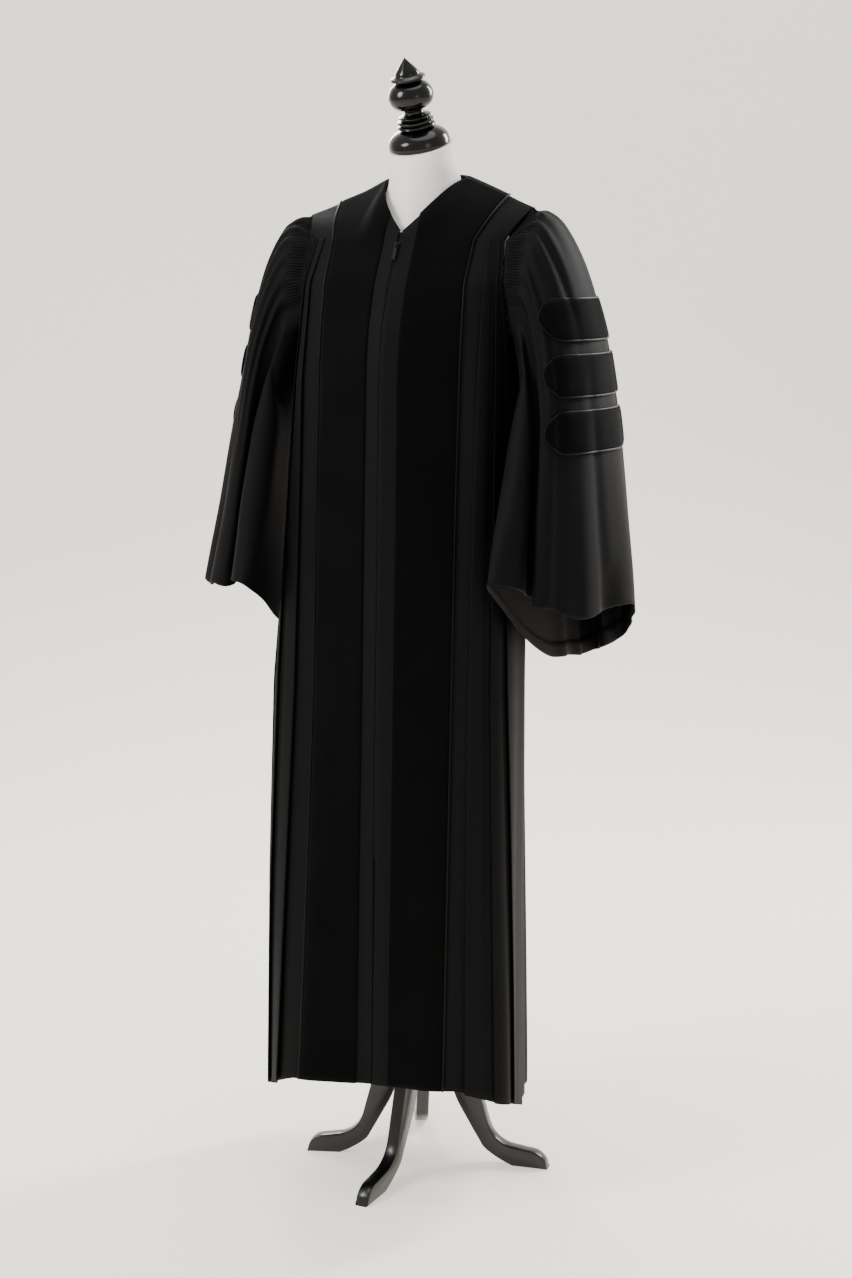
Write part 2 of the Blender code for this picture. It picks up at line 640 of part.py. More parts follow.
def bar_and_piping(side, number, grid, velvet, satin):
    """One velvet bar on the sleeve and the piping round it."""
    name = "left" if side == LEFT else "right"
    z = BAR_TOP_Z - BAR_PITCH * number + SLEEVE_SHIFT[side][2] * (0.25 + 0.2 * number)
    chart = SleeveChart(grid, z)
    front_tip = BAR_FRONT[side][number]
    back_tip = BAR_BACK[side][number]
    marks = [front_tip - 1.5, front_tip - 7, front_tip - 16, front_tip - 28]
    marks += [front_tip - 28 - (front_tip + back_tip - 56) * k / 7 for k in range(1, 7)]
    marks += [-back_tip + 28, -back_tip + 16, -back_tip + 7, -back_tip + 1.5]
    rows = []
    for share in (-1, 0, 1):
        row = []
        for along in marks:
            p, normal = chart.point(along, z + share * bar_half_height(along, front_tip, back_tip), side)
            row.append(p + normal * (BAR_GAP + VELVET_WALL))
        rows.append(row)
    if side == LEFT:
        rows = [row[::-1] for row in rows]
    cloth(f"bar_{name}_{number + 1}", rows, velvet, VELVET_WALL)
    reach = BAR_PIPING_RADIUS + 1.2
    outline = [(front_tip, 0.0)]
    outline += [(m, bar_half_height(m, front_tip, back_tip)) for m in marks]
    outline += [(-back_tip, 0.0)]
    outline += [(m, -bar_half_height(m, front_tip, back_tip)) for m in reversed(marks)]
    path = []
    count = len(outline)
    for i, (a, h) in enumerate(outline):
        b, c = outline[i - 1], outline[(i + 1) % count]
        run = Vector((c[0] - b[0], c[1] - b[1])).normalized()
        p, normal = chart.point(a + run.y * reach, z + h - run.x * reach, side)
        path.append(p + normal * (BAR_PIPING_RADIUS + BAR_GAP + 1.2))
    cord(f"bar_piping_{name}_{number + 1}", path, BAR_PIPING_RADIUS, satin, sides=4, closed=True)


# ---- velvet facing ----
def facing_grid(side):
    """Velvet of one front from the hem over the yoke to the shoulder line, on the panels' own points."""
    return front_grid(side, 2, 8) + yoke_grid(side, 1, 7)


def back_facing_grid():
    """Velvet band round the back of the neck, with its lower edge falling to the middle."""
    yoke = back_yoke_grid()
    rows = []
    for k in range(YOKE_ROWS + 1):
        row = []
        for c in range(2, 13):
            start = BAND_LOW[(c if c < 8 else 14 - c) - 2] * YOKE_ROWS
            v = start + (YOKE_ROWS - start) * k / YOKE_ROWS
            r = min(int(v), YOKE_ROWS - 1)
            row.append(yoke[r][c].lerp(yoke[r + 1][c], v - r))
        rows.append(row)
    return rows


def edge_piping(name, grid, edge, away, height, mat):
    """Piping that lies on the panel along one column of a facing's grid, its middle this far above it."""
    normal = grid_normals(grid, False)
    path = []
    for r, row in enumerate(grid):
        run = (grid[min(r + 1, len(grid) - 1)][edge] - grid[max(r - 1, 0)][edge]).normalized()
        beyond = row[edge] - row[away]
        beyond = (beyond - run * beyond.dot(run)).normalized()
        path.append(row[edge] + beyond * (PIPING_RADIUS + 2 * SEAM)
                    + Vector(normal[r][edge]) * height)
    cord(name, path, PIPING_RADIUS, mat)


# ---- hard pieces of the zip ----
def box(name, low, high, frame, mat):
    """Box between two corners in mm in a local frame."""
    bm = bmesh.new()
    bmesh.ops.create_cube(bm, size=1.0)
    size = Vector(high) - Vector(low)
    middle = (Vector(high) + Vector(low)) / 2
    for v in bm.verts:
        local = Vector((v.co.x * size.x, v.co.y * size.y, v.co.z * size.z)) + middle
        v.co = frame @ local * MM
    return add_object(name, bm, mat, smooth=False)


def combine(target, tool, operation):
    """Cuts or joins one object with another, then removes the other."""
    modifier = target.modifiers.new("combine", "BOOLEAN")
    modifier.operation = operation
    modifier.solver = "EXACT"
    modifier.object = tool
    bpy.context.view_layer.update()
    evaluated = target.evaluated_get(bpy.context.evaluated_depsgraph_get())
    mesh = bpy.data.meshes.new_from_object(evaluated)
    target.modifiers.clear()
    target.data = mesh
    bpy.data.objects.remove(tool)


def zip_frame():
    """Frame at the slider: x to the figure's right, y down the slope of the chest, z out of the cloth."""
    upper = Vector((0, BODY_LEFT[0][1], BODY_LEFT[0][0]))
    lower = Vector((0, BODY_LEFT[1][1], BODY_LEFT[1][0]))
    down = (lower - upper).normalized()
    out = down.cross(Vector((1, 0, 0))).normalized()
    centre = upper + (lower - upper) * ((upper.z - ZIP_TOP_Z) / (upper.z - lower.z))
    turn = Matrix((Vector((-1, 0, 0)), down, out)).transposed().to_4x4()
    return Matrix.Translation(centre) @ turn


# the slider's bridge seen from the side: y, z
BRIDGE_OUTLINE = [(-3.2, 1.5), (-3.2, 5), (3.2, 5), (3.2, 1.5), (2, 1.5), (2, 4), (-2, 4), (-2, 1.5)]


def zip_pieces(metal):
    frame = zip_frame()
    slider = box("zip_slider", (-3.8, -5, 0.4), (3.8, 5, 2.0), frame, metal)
    bm = bmesh.new()
    sides = [[bm.verts.new(frame @ Vector((x, y, z)) * MM) for y, z in BRIDGE_OUTLINE] for x in (-1.2, 1.2)]
    bm.faces.new(sides[0])
    bm.faces.new(sides[1])
    for k in range(len(BRIDGE_OUTLINE)):
        bm.faces.new((sides[0][k - 1], sides[0][k], sides[1][k], sides[1][k - 1]))
    combine(slider, add_object("bridge", bm, metal), "UNION")
    pull = box("zip_pull", (-2.5, -0.5, 2.5), (2.5, 0.5, 3.5), frame, metal)
    for x in (-2.5, 1.7):
        combine(pull, box("arm", (x, -0.4, 2.5), (x + 0.8, 5.2, 3.5), frame, metal), "UNION")
    combine(pull, box("tab", (-2.5, 4.6, 2.5), (2.5, 24, 3.5), frame, metal), "UNION")


def zip_chain(metal):
    rows = []
    between = [z for z in reversed(FRONT_LEVELS) if ZIP_END_Z < z < ZIP_TOP_Z - 8]
    for z in [ZIP_END_Z] + between + [ZIP_TOP_Z - 6]:
        y = column(BODY_LEFT, LEVEL, "front_y", z)
        rows.append([Vector((x, y + 0.5, z)) for x in (-ZIP_HALF + 1.1, 0, ZIP_HALF - 1.1)])
    cloth("zip_chain", rows, metal, 1.4)


# ---- dress form and stand ----
def form_ring(z, half, front, back, square, widest, sides):
    ring = []
    for k in range(sides):
        a = 2 * math.pi * k / sides
        x = half * math.copysign(abs(math.cos(a)) ** (2 / square), math.cos(a))
        reach = back - widest if math.sin(a) > 0 else widest - front
        y = widest + reach * math.copysign(abs(math.sin(a)) ** (2 / square), math.sin(a))
        ring.append(Vector((x, y, z)))
    return ring


def dress_form(mat, sides=40):
    rings = [form_ring(*row, sides) for row in FORM_SECTIONS]
    neck = form_ring(0, *FORM_SECTIONS[-1][1:], sides)
    lean = math.tan(NECK_LEAN)
    rings.append([Vector((p.x + NECK_TOP.x * 0.5, p.y, NECK_TOP.z + (p.y - NECK_TOP.y) * math.tan(NECK_TILT)
                          - p.x * lean)) for p in neck])
    bm = bmesh.new()
    verts = [[bm.verts.new(p * MM) for p in ring] for ring in rings]
    for a, b in zip(verts, verts[1:]):
        for k in range(sides):
            n = (k + 1) % sides
            bm.faces.new((a[k], a[n], b[n], b[k]))
    bm.faces.new(verts[0])
    bm.faces.new(verts[-1])
    return add_object("form_torso", bm, mat)


def leg(name, turn, spread, mat):
    """S-shaped leg sawn from board: outline of its side face, extruded across its width."""
    root = LEG_UPPER[0][0]
    upper = smooth_curve([(root + (x - root) * spread, z, 0) for x, z in LEG_UPPER], 3)
    lower = smooth_curve([(root + (x - root) * spread, z, 0) for x, z in LEG_LOWER], 3)
    outline = upper + lower
    bm = bmesh.new()
    skins = []
    for y in (-LEG_WIDTH / 2, LEG_WIDTH / 2):
        skins.append([bm.verts.new(turn @ Vector((p.x, y, p.y)) * MM) for p in outline])
    bm.faces.new(skins[0])
    bm.faces.new(skins[1])
    count = len(outline)
    for k in range(count):
        n = (k + 1) % count
        bm.faces.new((skins[0][k], skins[0][n], skins[1][n], skins[1][k]))
    obj = add_object(name, bm, mat)
    bevel = obj.modifiers.new("eased edges", "BEVEL")
    bevel.width = 0.0015
    bevel.segments = 1
    bevel.limit_method = "ANGLE"
    bevel.angle_limit = math.radians(50)
    return obj


def stand(wood, steel):
    place = Matrix.Translation(Vector((*STAND_CENTRE, 0)))
    turned("stand_hub", HUB_PROFILE, wood, place)
    turned("stand_pole", ((POLE_RADIUS, 246.4), (POLE_RADIUS, 799.6)), steel, place, sides=24)
    for name, (turn, spread) in LEG_TURNS.items():
        leg(name, place @ Matrix.Rotation(math.radians(turn), 4, "Z"), spread, wood)


def finial(wood):
    turn = Matrix.Rotation(NECK_LEAN, 4, "Y") @ Matrix.Rotation(NECK_TILT, 4, "X")
    place = Matrix.Translation(NECK_TOP) @ turn
    for name, profile in (("neck_cap", CAP_PROFILE), ("finial_collar", COLLAR_PROFILE),
                          ("finial_knob", KNOB_PROFILE), ("finial_tip", TIP_PROFILE)):
        turned(name, profile, wood, place)


# ---- build ----
def build_gown(cloth_mat, velvet, satin, metal):
    for side, name in ((LEFT, "left"), (RIGHT, "right")):
        cloth(f"front_{name}", oriented(inset(front_grid(side), right=SEAM / 2), side), cloth_mat)
        cloth(f"yoke_{name}", oriented(inset(yoke_grid(side)), side), cloth_mat)
        facing = facing_grid(side)
        lift = SEAM + VELVET_WALL
        cloth(f"facing_{name}", oriented(facing, side), velvet, VELVET_WALL, lift)
        edge_piping(f"piping_{name}", oriented(facing, side), -1 if side == LEFT else 0,
                    -2 if side == LEFT else 1, PIPING_RADIUS + 2 * SEAM, satin)
        sleeve = sleeve_grid(side)
        walls = [row[::-1] for row in sleeve] if side == LEFT else sleeve
        cloth(f"sleeve_{name}", walls, cloth_mat, closed=True)
        for number in range(3):
            bar_and_piping(side, number, sleeve, velvet, satin)
    cloth("back", inset(back_grid(), left=SEAM / 2, right=SEAM / 2), cloth_mat)
    cloth("yoke_back", inset(back_yoke_grid(), top=0), cloth_mat)
    band = back_facing_grid()
    cloth("facing_back", band, velvet, VELVET_WALL, BAND_GAP + VELVET_WALL)
    lower = [[row[c] for row in band] for c in range(len(band[0]))]
    edge_piping("piping_back", [row[::-1] for row in lower], -1, -2, PIPING_RADIUS + BAND_GAP, satin)
    zip_chain(metal)
    zip_pieces(metal)


def centre_on_floor():
    """Puts the middle of the whole object's box over the origin."""
    bpy.context.view_layer.update()
    corners = [obj.matrix_world @ v.co for obj in bpy.context.scene.objects for v in obj.data.vertices]
    x = (min(p.x for p in corners) + max(p.x for p in corners)) / 2
    y = (min(p.y for p in corners) + max(p.y for p in corners)) / 2
    for obj in bpy.context.scene.objects:
        obj.location = (-x, -y, 0)


for old in list(bpy.data.objects):
    bpy.data.objects.remove(old)
build_gown(material("black gown cloth", (0.012, 0.012, 0.013), 0.75),
           material("black velvet", (0.003, 0.003, 0.003), 0.9),
           material("black satin", (0.008, 0.008, 0.008), 0.35),
           material("black metal", (0.02, 0.02, 0.02), 0.3, 1.0))
dress_form(material("pale jersey", (0.70, 0.68, 0.65), 0.85))
lacquer = material("black lacquered wood", (0.01, 0.01, 0.01), 0.15)
finial(lacquer)
stand(lacquer, material("painted steel", (0.03, 0.03, 0.03), 0.3, 0.0))
centre_on_floor()
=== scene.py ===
"""Doctoral graduation gown on a dress form: fine cloth, velvet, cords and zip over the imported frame.

Sizes in the tables are millimetres before the object is centred on the floor. The figure faces -Y.
"""
import math

import bmesh
import bpy
import numpy as np
from mathutils import Matrix, Vector


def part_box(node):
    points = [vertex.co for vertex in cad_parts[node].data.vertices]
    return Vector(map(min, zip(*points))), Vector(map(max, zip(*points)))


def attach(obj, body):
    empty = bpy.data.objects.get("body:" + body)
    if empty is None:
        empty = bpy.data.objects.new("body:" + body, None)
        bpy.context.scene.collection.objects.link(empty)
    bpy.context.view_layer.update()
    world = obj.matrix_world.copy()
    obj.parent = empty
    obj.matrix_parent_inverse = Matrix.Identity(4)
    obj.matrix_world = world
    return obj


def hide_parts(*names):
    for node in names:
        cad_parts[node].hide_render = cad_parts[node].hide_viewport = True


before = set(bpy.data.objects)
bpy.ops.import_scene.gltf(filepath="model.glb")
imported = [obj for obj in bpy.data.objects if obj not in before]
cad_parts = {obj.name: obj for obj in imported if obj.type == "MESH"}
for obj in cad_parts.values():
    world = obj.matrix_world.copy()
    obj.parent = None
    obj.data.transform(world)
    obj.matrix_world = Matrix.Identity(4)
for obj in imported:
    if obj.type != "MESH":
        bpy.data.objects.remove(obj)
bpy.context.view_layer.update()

# ---- The pole of the stand, which says where everything else stands ----
MM = 0.001
BODY = "gown_on_form"
LEFT, RIGHT = 1, -1    # the figure's own sides: left is +X
SIDES = {LEFT: "left", RIGHT: "right"}
STAND_CENTRE = (6.0, 0.0)
pole_low, pole_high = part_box("stand_pole")
SHIFT = np.array([(pole_low.x + pole_high.x) / 2 / MM - STAND_CENTRE[0],
                  (pole_low.y + pole_high.y) / 2 / MM - STAND_CENTRE[1], 0.0])


def linear(hex_colour):
    """Linear colour from a hex sRGB one."""
    values = [int(hex_colour[k:k + 2], 16) / 255 for k in (0, 2, 4)]
    return tuple(v / 12.92 if v <= 0.04045 else ((v + 0.055) / 1.055) ** 2.4 for v in values) + (1.0,)


def add_node(owner, kind, inputs=None, **settings):
    """Adds a node to a material or a tree; inputs maps a socket to a value or to another node's output."""
    tree = getattr(owner, "node_tree", owner)
    node = tree.nodes.new(kind)
    for name, value in settings.items():
        setattr(node, name, value)
    for name, value in (inputs or {}).items():
        if isinstance(value, bpy.types.NodeSocket):
            tree.links.new(value, node.inputs[name])
        else:
            node.inputs[name].default_value = value
    return node


def new_material(name, colour, roughness, **values):
    """Principled material with a few of its inputs set."""
    material = bpy.data.materials.new(name)
    material.use_nodes = True
    shader = material.node_tree.nodes["Principled BSDF"]
    shader.inputs["Base Color"].default_value = linear(colour)
    shader.inputs["Roughness"].default_value = roughness
    for socket, value in values.items():
        shader.inputs[socket.replace("_", " ")].default_value = value
    return material, shader


def feed(material, socket, output):
    """Links a node's output to an input of the material's own shader."""
    tree = material.node_tree
    tree.links.new(output, tree.nodes["Principled BSDF"].inputs[socket])


def emboss(material, height, strength, distance, below=None):
    """Bump from a height, over another bump if one is given; it becomes the shader's normal."""
    inputs = {"Height": height, "Strength": strength, "Distance": distance}
    if below:
        inputs["Normal"] = below.outputs["Normal"]
    bump = add_node(material, "ShaderNodeBump", inputs)
    feed(material, "Normal", bump.outputs["Normal"])
    return bump


def tube_faces(rows, sides):
    """Faces between rings of points that follow one another."""
    return [tuple(row * sides + k % sides for row, k in ((r, c), (r, c + 1), (r + 1, c + 1), (r + 1, c)))
            for r in range(rows - 1) for c in range(sides)]


def end_faces(rows, sides):
    """Faces that close the first ring and the last."""
    return [tuple(range(sides))[::-1], tuple(range((rows - 1) * sides, rows * sides))]


def mesh_object(node, points, faces, material, uv=None, name=None):
    """Object from points in mm, shown in place of a node of the frame; it rides on the form.

    The unit of its map is one metre of cloth.
    """
    name = name or f"{node}_shown"
    mesh = bpy.data.meshes.new(name)
    points = (np.asarray(points, float).reshape(-1, 3) + SHIFT) * MM
    mesh.from_pydata(points.tolist(), [], faces)
    if uv is not None:
        layer = mesh.uv_layers.new(name="cloth")
        corners = np.array([loop.vertex_index for loop in mesh.loops])
        layer.data.foreach_set("uv", (np.asarray(uv).reshape(-1, 2)[corners] * MM).ravel())
    mesh.materials.append(material)
    mesh.validate()
    shape = bmesh.new()
    shape.from_mesh(mesh)
    bmesh.ops.recalc_face_normals(shape, faces=shape.faces)
    shape.to_mesh(mesh)
    shape.free()
    mesh.shade_smooth()
    obj = bpy.data.objects.new(name, mesh)
    bpy.context.scene.collection.objects.link(obj)
    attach(obj, BODY)
    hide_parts(node)
    return obj


def smooth_run(points, steps):
    """Open Catmull-Rom curve through rows of numbers, with this many steps between each two."""
    p = np.asarray(points, float)
    p = np.vstack([2 * p[0] - p[1], p, 2 * p[-1] - p[-2]])
    t = (np.arange(steps) / steps)[:, None]
    parts = []
    for a, b, c, d in zip(p, p[1:], p[2:], p[3:]):
        parts.append(0.5 * (2 * b + (c - a) * t + (2 * a - 5 * b + 4 * c - d) * t ** 2
                            + (3 * b - a - 3 * c + d) * t ** 3))
    return np.vstack(parts + [p[-2:-1]])


def turned(name, profile, material, place, steps=4, sides=96):
    """Piece turned about its own Z from (radius, height) rows."""
    rows = smooth_run(profile, steps)
    angles = np.arange(sides) * 2 * math.pi / sides
    points = []
    for radius, height in rows:
        ring = np.stack([radius * np.cos(angles), radius * np.sin(angles), np.full(sides, height)], 1)
        points += [place @ Vector(p) for p in ring]
    faces = tube_faces(len(rows), sides) + end_faces(len(rows), sides)
    return mesh_object(name, points, faces, material)


# ---- Stand: painted steel pole in a wooden hub with four folding legs sawn from board ----
LEG_WIDTH = 20.0
LEG_TURNS = {"leg_left": (6, 1.05), "leg_back": (115, 1.0),
             "leg_right": (196, 0.98), "leg_front": (266, 1.17)}   # way it points and how far it spreads
LEG_UPPER = ((25.4, 232), (46, 222), (63, 186), (77, 146), (91.5, 93), (104, 53), (124, 34.5), (150, 29),
             (171, 25.5), (184, 15), (189, 0))
LEG_LOWER = ((136, 0), (115, 10), (94, 24.5), (84, 40), (68.6, 67), (51, 100), (37, 140), (25.4, 162))
HUB_PROFILE = ((20, 146), (25, 150), (25, 192), (25, 234), (20, 240), (20, 246))

wood, shader = new_material("satin black wood", "080808", 0.32, Specular_IOR_Level=0.35, Coat_Weight=0.2,
                            Coat_Roughness=0.18)
place_noise = add_node(wood, "ShaderNodeTexCoord")
grain = add_node(wood, "ShaderNodeTexNoise", {"Vector": place_noise.outputs["Object"], "Scale": 260.0,
                                              "Detail": 3.0, "Roughness": 0.6})
emboss(wood, grain.outputs["Fac"], 0.12, 0.0005)
wear = add_node(wood, "ShaderNodeMapRange", {"Value": grain.outputs["Fac"], "To Min": 0.24, "To Max": 0.40})
feed(wood, "Roughness", wear.outputs["Result"])


def leg(name, turn, spread):
    """S-shaped leg: side outline with rounded edges, across its width."""
    root = LEG_UPPER[0][0]
    outline = np.vstack([smooth_run(LEG_UPPER, 6), smooth_run(LEG_LOWER, 6)])
    outline[:, 0] = root + (outline[:, 0] - root) * spread
    keep = [k for k in range(len(outline)) if np.linalg.norm(outline[k] - outline[k - 1]) > 0.5]
    outline = outline[keep]
    ahead = np.roll(outline, -1, 0) - np.roll(outline, 1, 0)
    ahead /= np.linalg.norm(ahead, axis=1, keepdims=True)
    inwards = np.stack([ahead[:, 1], -ahead[:, 0]], 1)
    half = LEG_WIDTH / 2
    layers = [(-half, 2.0), (-half + 0.6, 0.6), (-half + 2.0, 0),
              (half - 2.0, 0), (half - 0.6, 0.6), (half, 2.0)]
    place = Matrix.Translation((*STAND_CENTRE, 0)) @ Matrix.Rotation(math.radians(turn), 4, "Z")
    points = []
    for y, drawn_in in layers:
        for (x, z), inward in zip(outline, inwards):
            x, z = x + inward[0] * drawn_in, max(z + inward[1] * drawn_in, 0.0)
            points.append(place @ Vector((x, y, z)))
    count = len(outline)
    faces = tube_faces(len(layers), count) + [face[::-1] for face in end_faces(len(layers), count)]
    obj = mesh_object(name, points, faces, wood)
    obj.data.set_sharp_from_angle(angle=math.radians(50))
    return obj


for leg_name, (leg_turn, leg_spread) in LEG_TURNS.items():
    leg(leg_name, leg_turn, leg_spread)
stand_place = Matrix.Translation((*STAND_CENTRE, 0))
turned("stand_hub", HUB_PROFILE, wood, stand_place, steps=1).data.set_sharp_from_angle(
    angle=math.radians(30))
turned("stand_pole", ((14, 246.4), (14, 520), (14, 799.6)), wood, stand_place, steps=1).data.set_sharp_from_angle(angle=math.radians(30))

# ---- Dress form: hard shell under stretched off-white jersey, no arms, cut level below the hips ----
# Height, half width, front, back, how square the section is (2 = ellipse), where it is widest.
FORM_SECTIONS = (
    (800, 138, -104, 84, 2.2, -10), (880, 146, -110, 90, 2.2, -10), (980, 140, -112, 86, 2.2, -13),
    (1080, 124, -118, 80, 2.2, -19), (1160, 136, -130, 88, 2.2, -21), (1230, 146, -136, 96, 2.2, -20),
    (1290, 148, -126, 96, 2.2, -15), (1345, 144, -100, 90, 2.2, -5), (1390, 138, -70, 72, 2.0, 1),
    (1418, 130, -58, 68, 1.5, 6), (1438, 111, -51, 64, 1.3, 10), (1456, 86, -47, 62, 1.35, 14),
    (1470, 66, -45, 59, 1.5, 17), (1484, 56, -44, 57, 1.7, 18), (1497, 52.5, -43.5, 56, 1.85, 16),
    (1508, 50.5, -43.5, 55, 1.95, 11), (1520, 47, -43.5, 53, 2.0, 6),
)
NECK_TILT = math.radians(20)   # the neck plate falls to the front
NECK_LEAN = math.radians(-3)   # and a little to the figure's right
NECK_TOP = Vector((-4, 4, 1541))

jersey, shader = new_material("off-white jersey", "F0EEEA", 0.9, Sheen_Weight=0.15, Specular_IOR_Level=0.2)
place_map = add_node(jersey, "ShaderNodeTexCoord")
knit = add_node(jersey, "ShaderNodeTexNoise", {"Vector": place_map.outputs["Object"], "Scale": 900.0})
emboss(jersey, knit.outputs["Fac"], 0.08, 0.0003)


def dress_form(sides=96):
    rows = [tuple(row) for row in smooth_run(FORM_SECTIONS, 4)]
    points = []
    angles = np.arange(sides) * 2 * math.pi / sides
    for z, half, front, back, square, widest in rows:
        wave = np.sin(angles)
        x = half * np.sign(np.cos(angles)) * np.abs(np.cos(angles)) ** (2 / square)
        reach = np.where(wave > 0, back - widest, widest - front)
        y = widest + reach * np.sign(wave) * np.abs(wave) ** (2 / square)
        points.append(np.stack([x, y, np.full(sides, z)], 1))
    neck = points[-1].copy()
    neck[:, 0] += NECK_TOP.x * 0.5
    rise = (NECK_TOP.z + (neck[:, 1] - NECK_TOP.y) * math.tan(NECK_TILT)
            - points[-1][:, 0] * math.tan(NECK_LEAN))
    for share in (0.5, 0.93):
        points.append(np.stack([points[-1][:, 0] * (1 - share) + neck[:, 0] * share, neck[:, 1],
                                1520 + (rise - 1520) * share], 1))
    centre = np.array([NECK_TOP.x * 0.5, NECK_TOP.y + 1, 0])
    points.append(np.stack([neck[:, 0], neck[:, 1], rise - 0.4], 1))
    lip = neck * 0.96 + centre * 0.04
    points.append(np.stack([lip[:, 0], lip[:, 1], rise], 1))
    faces = tube_faces(len(points), sides) + end_faces(len(points), sides)
    obj = mesh_object("form_torso", np.vstack(points), faces, jersey, name="form_shown")
    obj.data.set_sharp_from_angle(angle=math.radians(45))
    return obj


dress_form()

# ---- Neck cap and finial: turned wood, glossy black lacquer ----
CAP_PROFILE = ((44.5, 0.8), (44.9, 3.5), (44.5, 7), (42, 14), (36, 20), (28, 24.5), (20, 27), (14, 28.5))
COLLAR_PROFILE = ((13, 28.8), (26.6, 28.9), (27.4, 30.5), (26.6, 32), (23.2, 33.3), (23.2, 34.3), (26, 35.5),
                  (26.6, 37), (26, 38.5), (20.4, 40.3), (20.2, 41.2), (23, 42.5), (23.6, 43.8), (23, 45),
                  (15.2, 47.6), (13.6, 51), (15, 54))
KNOB_PROFILE = ((15.3, 54.4), (24, 57.5), (30, 63.5), (32.6, 72), (32, 79), (27.5, 87), (20, 93), (16, 95.5))
TIP_PROFILE = ((16.5, 95.9), (24.2, 97.2), (25, 99), (24.4, 100.8), (19, 103), (17.5, 105.5), (16, 109),
               (7, 120), (2.4, 125.5), (0.6, 128))

lacquer, shader = new_material("black lacquer", "030303", 0.2, Coat_Weight=0.2, Coat_Roughness=0.06,
                               Specular_IOR_Level=0.22)
finial_place = (Matrix.Translation(NECK_TOP) @ Matrix.Rotation(NECK_LEAN, 4, "Y")
                @ Matrix.Rotation(NECK_TILT, 4, "X"))
for turned_name, profile in (("neck_cap", CAP_PROFILE), ("finial_collar", COLLAR_PROFILE),
                             ("finial_knob", KNOB_PROFILE), ("finial_tip", TIP_PROFILE)):
    turned(turned_name, profile, lacquer, finial_place, steps=5)

# ---- Fronts: one panel a side, knife pleats sewn into the yoke seam and pressed down to the hem ----
# One row for each level of the body. "edge" is the outer edge of the velvet, "hip" the corner of the
# side, "side" the front panel's side edge, "rear" the back panel's, "blade" the corner of the back.
LEVEL = ("z", "front_y", "edge_x", "edge_y", "hip_x", "hip_y", "side_x", "side_y",
         "rear_x", "rear_y", "blade_x", "blade_y", "back_y")
BODY_TABLE = {
    LEFT: (
        (1405, -88, 105, -66, 128, -60, 148, -51, 150, 58, 82, 80, 88),
        (1345, -123, 105, -104, 132, -94, 153, -79, 156, 76, 88, 101, 104),
        (1285, -146, 106, -117, 139, -101, 160, -72, 161, 68, 92, 106, 109),
        (1235, -155, 106, -124, 145, -105, 168, -40, 168, 38, 94, 107, 111),
        (1207, -157, 106, -126, 148, -106, 172, -2, 172, 2, 95, 106, 111),
        (1050, -163, 105, -135, 155, -112, 174, -18, 174, -18, 102, 99, 111),
        (765, -174, 105, -151, 168, -121, 173, -30, 173, -30, 116, 82, 110),
        (450, -186, 107, -172, 178, -140, 176, -42, 176, -42, 120, 84, 112),
        (160, -196, 110, -195, 187, -152, 184, -56, 184, -56, 122, 88, 114),
    ),
    RIGHT: (
        (1405, -88, 108, -68, 129, -61, 148, -51, 150, 58, 82, 80, 88),
        (1345, -123, 105, -105, 134, -96, 153, -79, 156, 76, 88, 101, 104),
        (1285, -146, 105, -118, 141, -103, 160, -72, 161, 68, 92, 106, 109),
        (1235, -155, 105, -125, 147, -107, 168, -40, 168, 38, 94, 107, 111),
        (1207, -157, 105, -127, 150, -108, 172, -2, 172, 2, 95, 106, 111),
        (1050, -163, 105, -137, 160, -114, 178, -22, 178, -22, 102, 99, 111),
        (765, -174, 105, -154, 176, -130, 199, -44, 199, -44, 122, 90, 110),
        (450, -186, 108, -180, 180, -148, 205, -52, 205, -52, 136, 100, 112),
        (160, -196, 112, -203, 172, -171, 207, -78, 207, -78, 142, 102, 114),
    ),
}
HEM = {LEFT: (184, 190, 158, 128), RIGHT: (184, 178, 142, 112)}   # hem's height at the places below
HEM_PLACES = (0, 0.45, 0.75, 1)    # the zip, the velvet's edge, the hip and the side seam
HEM_LOWEST = 120
STRIP_WIDTH = 24.0     # cloth strip between the zip and the velvet
YOKE_Z = 1405.0
TOP_Z = 1404.4
# Knife pleats: how far each fold edge lies from the velvet's edge, at the levels below.
PLEAT_LEVELS = (1405, 1345, 1225, 765, 160)
PLEATS = {
    LEFT: ((22, 28, 28, 27, 34), (37, 46, 52, 57, 76), (42, 52, 74, 84, 118)),
    RIGHT: ((20, 29, 30, 34, 44), (36, 45, 54, 68, 84), (42, 52, 76, 96, 124)),
}
PLEAT_DEPTH = (1.2, 3.4, 5.0, 6.0, 7.0)
PLEAT_UNDER = (5.0, 9.0, 11.0, 12.0, 14.0)     # how far the cloth turns back under each fold edge
# Slow waves of the hanging front: side, distance from the zip, width, height at the hem, and
# how far above the hem they die out.
WAVES = (
    (LEFT, 16, 12, 1.6, 900), (LEFT, 66, 26, 2.2, 700), (LEFT, 128, 16, 2.4, 1000),
    (LEFT, 160, 14, -2.0, 900), (LEFT, 205, 18, 2.6, 1000), (LEFT, 240, 16, -2.4, 1000),
    (RIGHT, 14, 11, -1.4, 950), (RIGHT, 58, 24, 1.8, 640), (RIGHT, 134, 18, 2.6, 1000),
    (RIGHT, 172, 15, -2.0, 900), (RIGHT, 214, 17, 2.4, 980), (RIGHT, 250, 16, -2.2, 1000),
)


def at_level(side, name, z):
    rows = BODY_TABLE[side][::-1]
    k = LEVEL.index(name)
    return float(np.interp(z, [row[0] for row in rows], [row[k] for row in rows]))


def by_level(values, z):
    return float(np.interp(z, PLEAT_LEVELS[::-1], values[::-1]))


def run_of(curve):
    return np.concatenate([[0], np.cumsum(np.linalg.norm(np.diff(curve, axis=0), axis=1))])


